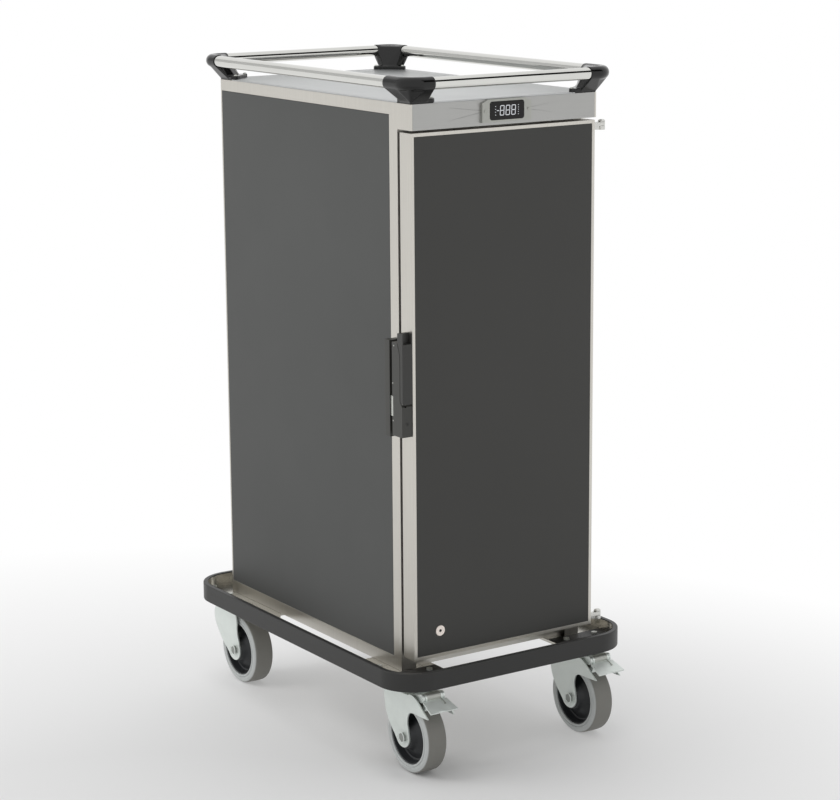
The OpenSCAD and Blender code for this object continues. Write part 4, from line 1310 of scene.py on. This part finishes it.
class Lamp(NamedTuple):
    """One soft box: its name, place, width and height in metres, and power in watts."""

    name: str
    place: Vector
    size: Point
    power: float

    def hang(self, target: Vector) -> str:
        """Hangs the lamp, facing a point.

        Args:
            target: The point.

        Returns:
            The lamp's name.
        """
        data = bpy.data.lights.new(self.name, "AREA")
        data.shape = "RECTANGLE"
        data.size, data.size_y = self.size
        data.energy = self.power
        lamp = add_object(self.name, data)
        lamp.location = self.place
        lamp.rotation_euler = (target - self.place).to_track_quat("-Z", "Y").to_euler()
        lamp.visible_glossy = False
        return self.name


class Card(NamedTuple):
    """A card that only glossy pieces mirror: its place, width and height, turn in degrees and grey."""

    place: Vector
    size: Point
    turn: float
    grey: float

    def hang(self, name: str) -> str:
        """Hangs the card.

        Args:
            name: Its name.

        Returns:
            That name.
        """
        matt = Graph(name)
        matt.set(Base_Color=shown(self.grey, self.grey, self.grey), Roughness=1.0, Specular_IOR_Level=0.0)
        shape = bmesh.new()
        bmesh.ops.create_grid(shape, x_segments=1, y_segments=1, size=0.5)
        card = add_mesh(name, shape, matt.material)
        card.location = self.place
        card.scale = (*self.size, 1.0)
        card.rotation_euler = (math.pi / 2, 0.0, math.radians(self.turn))
        card.visible_camera = card.visible_diffuse = card.visible_shadow = False
        return name


@dataclass
class Studio(Assembly):
    """The floor, the light and the camera.

    Attributes:
        floor_half: Half the floor's side, in metres.
        target: The point that the lamps face.
        lamps: The lamps.
        cards: The dark and the pale card that draw the lines along polished tubes.
        fill: Light from all round.
        shade_pool: Middle of the floor's greyer patch, which is painted shade round the cart.
        shade_pool_reach: Its inner and outer radius.
        floor_colour: The floor near the cart.
        lens: Focal length on a 36 mm wide picture, in millimetres.
        camera_place: Where the camera stands, in metres.
        yaw: Turn of the camera from the cart's depth direction, in degrees.
        pitch: How far it looks down, in degrees.
        roll: How far it leans, in degrees.
    """

    floor_half: float = 60.0
    target: tuple[float, float, float] = (0.0, 0.0, 0.7)
    lamps: tuple[Lamp, ...] = (
        Lamp("left soft box", Vector((-3.6, 1.6, 2.6)), (2.6, 2.6), 62.0),
        Lamp("top soft box", Vector((-0.6, 0.2, 4.2)), (2.4, 2.4), 40.0),
    )
    cards: tuple[Card, ...] = (
        Card(Vector((2.0, -2.3, 3.9)), (2.6, 2.9), 0.0, 30.0),
        Card(Vector((-2.5, 5.0, 4.0)), (4.8, 4.8), 90.0, 232.0),
    )
    fill: float = 0.62
    shade_pool: Point = (-1.0, -0.6)
    shade_pool_reach: Point = (0.75, 2.4)
    floor_colour: Colour = shown(226, 226, 226)
    lens: float = 105.03
    camera_place: tuple[float, float, float] = (-2.9014, -4.4242, 1.8518)
    yaw: float = -33.589
    pitch: float = 12.243
    roll: float = -0.406

    def build(self) -> list[str]:
        """Sets up the whole studio."""
        bpy.context.scene.view_settings.view_transform = "Standard"
        self.world()
        lamps = [lamp.hang(Vector(self.target)) for lamp in self.lamps]
        cards = [card.hang(f"studio_card_{i}") for i, card in enumerate(self.cards)]
        return [self.floor(), *lamps, *cards, self.camera()]

    def world(self) -> None:
        """White wherever the camera, gloss or glass looks, and an even fill for everything else."""
        world = bpy.data.worlds.new("pale studio")
        bpy.context.scene.world = world
        world.use_nodes = True
        world.node_tree.nodes.clear()
        nodes = Nodes(world.node_tree)
        rays = nodes.node("ShaderNodeLightPath").outputs
        direct = nodes.sum(rays["Is Camera Ray"], rays["Is Glossy Ray"], "MAXIMUM")
        seen = nodes.sum(direct, rays["Is Transmission Ray"], "MAXIMUM")
        level = nodes.spread(seen, self.fill, 1.0, 0.0, 1.0)
        light = nodes.node("ShaderNodeBackground", Color=(1.0, 1.0, 1.0, 1.0), Strength=level)
        nodes.node("ShaderNodeOutputWorld", Surface=light.outputs[0])

    def floor(self) -> str:
        """Lays the floor: pale and matt near the cart, running out to white.

        Returns:
            Its name.
        """
        shape = bmesh.new()
        bmesh.ops.create_grid(shape, x_segments=8, y_segments=8, size=self.floor_half)
        floor = add_mesh("studio_floor", shape, self.floor_material())
        return floor.name

    def floor_material(self) -> bpy.types.Material:
        """The floor's material: near the cart a greyer patch of painted shade, on which the cart's shadows
        also fall, and far off plain white.
        """
        graph = Graph("pale studio floor")
        graph.set(Base_Color=self.floor_colour, Roughness=0.7, Specular_IOR_Level=0.2)
        # The grey patch round the pool's middle, running out to white, is painted shade.
        away = graph.node("ShaderNodeVectorMath", operation="DISTANCE", Vector=graph.place)
        graph.put(away.inputs[1], (*self.shade_pool, 0.0))
        white = graph.node("ShaderNodeEmission", Color=(1.0, 1.0, 1.0, 1.0), Strength=1.0)
        far = graph.spread(away.outputs["Value"], 0.0, 1.0, *self.shade_pool_reach)
        mixed = graph.node("ShaderNodeMixShader", Fac=far)
        graph.put(mixed.inputs[1], graph.shader.outputs[0])
        graph.put(mixed.inputs[2], white.outputs[0])
        out = next(n for n in graph.tree.nodes if n.type == "OUTPUT_MATERIAL")
        graph.put(out.inputs["Surface"], mixed.outputs[0])
        return graph.material

    def camera(self) -> str:
        """Sets up the camera at the photograph's viewing angle.

        Returns:
            Its name.
        """
        a, e, r = (math.radians(v) for v in (self.yaw, self.pitch, self.roll))
        ahead = Vector((-math.sin(a) * math.cos(e), math.cos(a) * math.cos(e), -math.sin(e)))
        right = ahead.cross(Vector((0, 0, 1))).normalized()
        up = right.cross(ahead)
        leaned_right = right * math.cos(r) + up * math.sin(r)
        leaned_up = up * math.cos(r) - right * math.sin(r)
        data = bpy.data.cameras.new("studio camera")
        data.lens = self.lens
        data.sensor_width = 36.0
        camera = add_object("studio camera", data)
        turn = Matrix((leaned_right, leaned_up, -ahead)).transposed().to_4x4()
        camera.matrix_world = Matrix.Translation(self.camera_place) @ turn
        bpy.context.scene.camera = camera
        return camera.name


# ---------------------------------------------------------------- the whole scene


def corners(box: tuple[Vector, Vector]) -> list[list[float]]:
    """A box's two corners as plain lists."""
    return [list(corner) for corner in box]


def main() -> None:
    """Builds the sub-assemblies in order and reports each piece."""
    logging.basicConfig(level=logging.INFO, format="%(name)s: %(message)s")
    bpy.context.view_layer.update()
    castors = [Castor(spot, spot.startswith("f")) for spot in ("fl", "fr", "bl", "br")]
    for assembly in (Chassis(), Cabinet(), Thermometer(), Gallery(), Door(), Latch(), *castors, Studio()):
        for piece in assembly.build():
            LOG.info("%s: %s", type(assembly).__name__, piece)


if __name__ == "__main__":
    main()
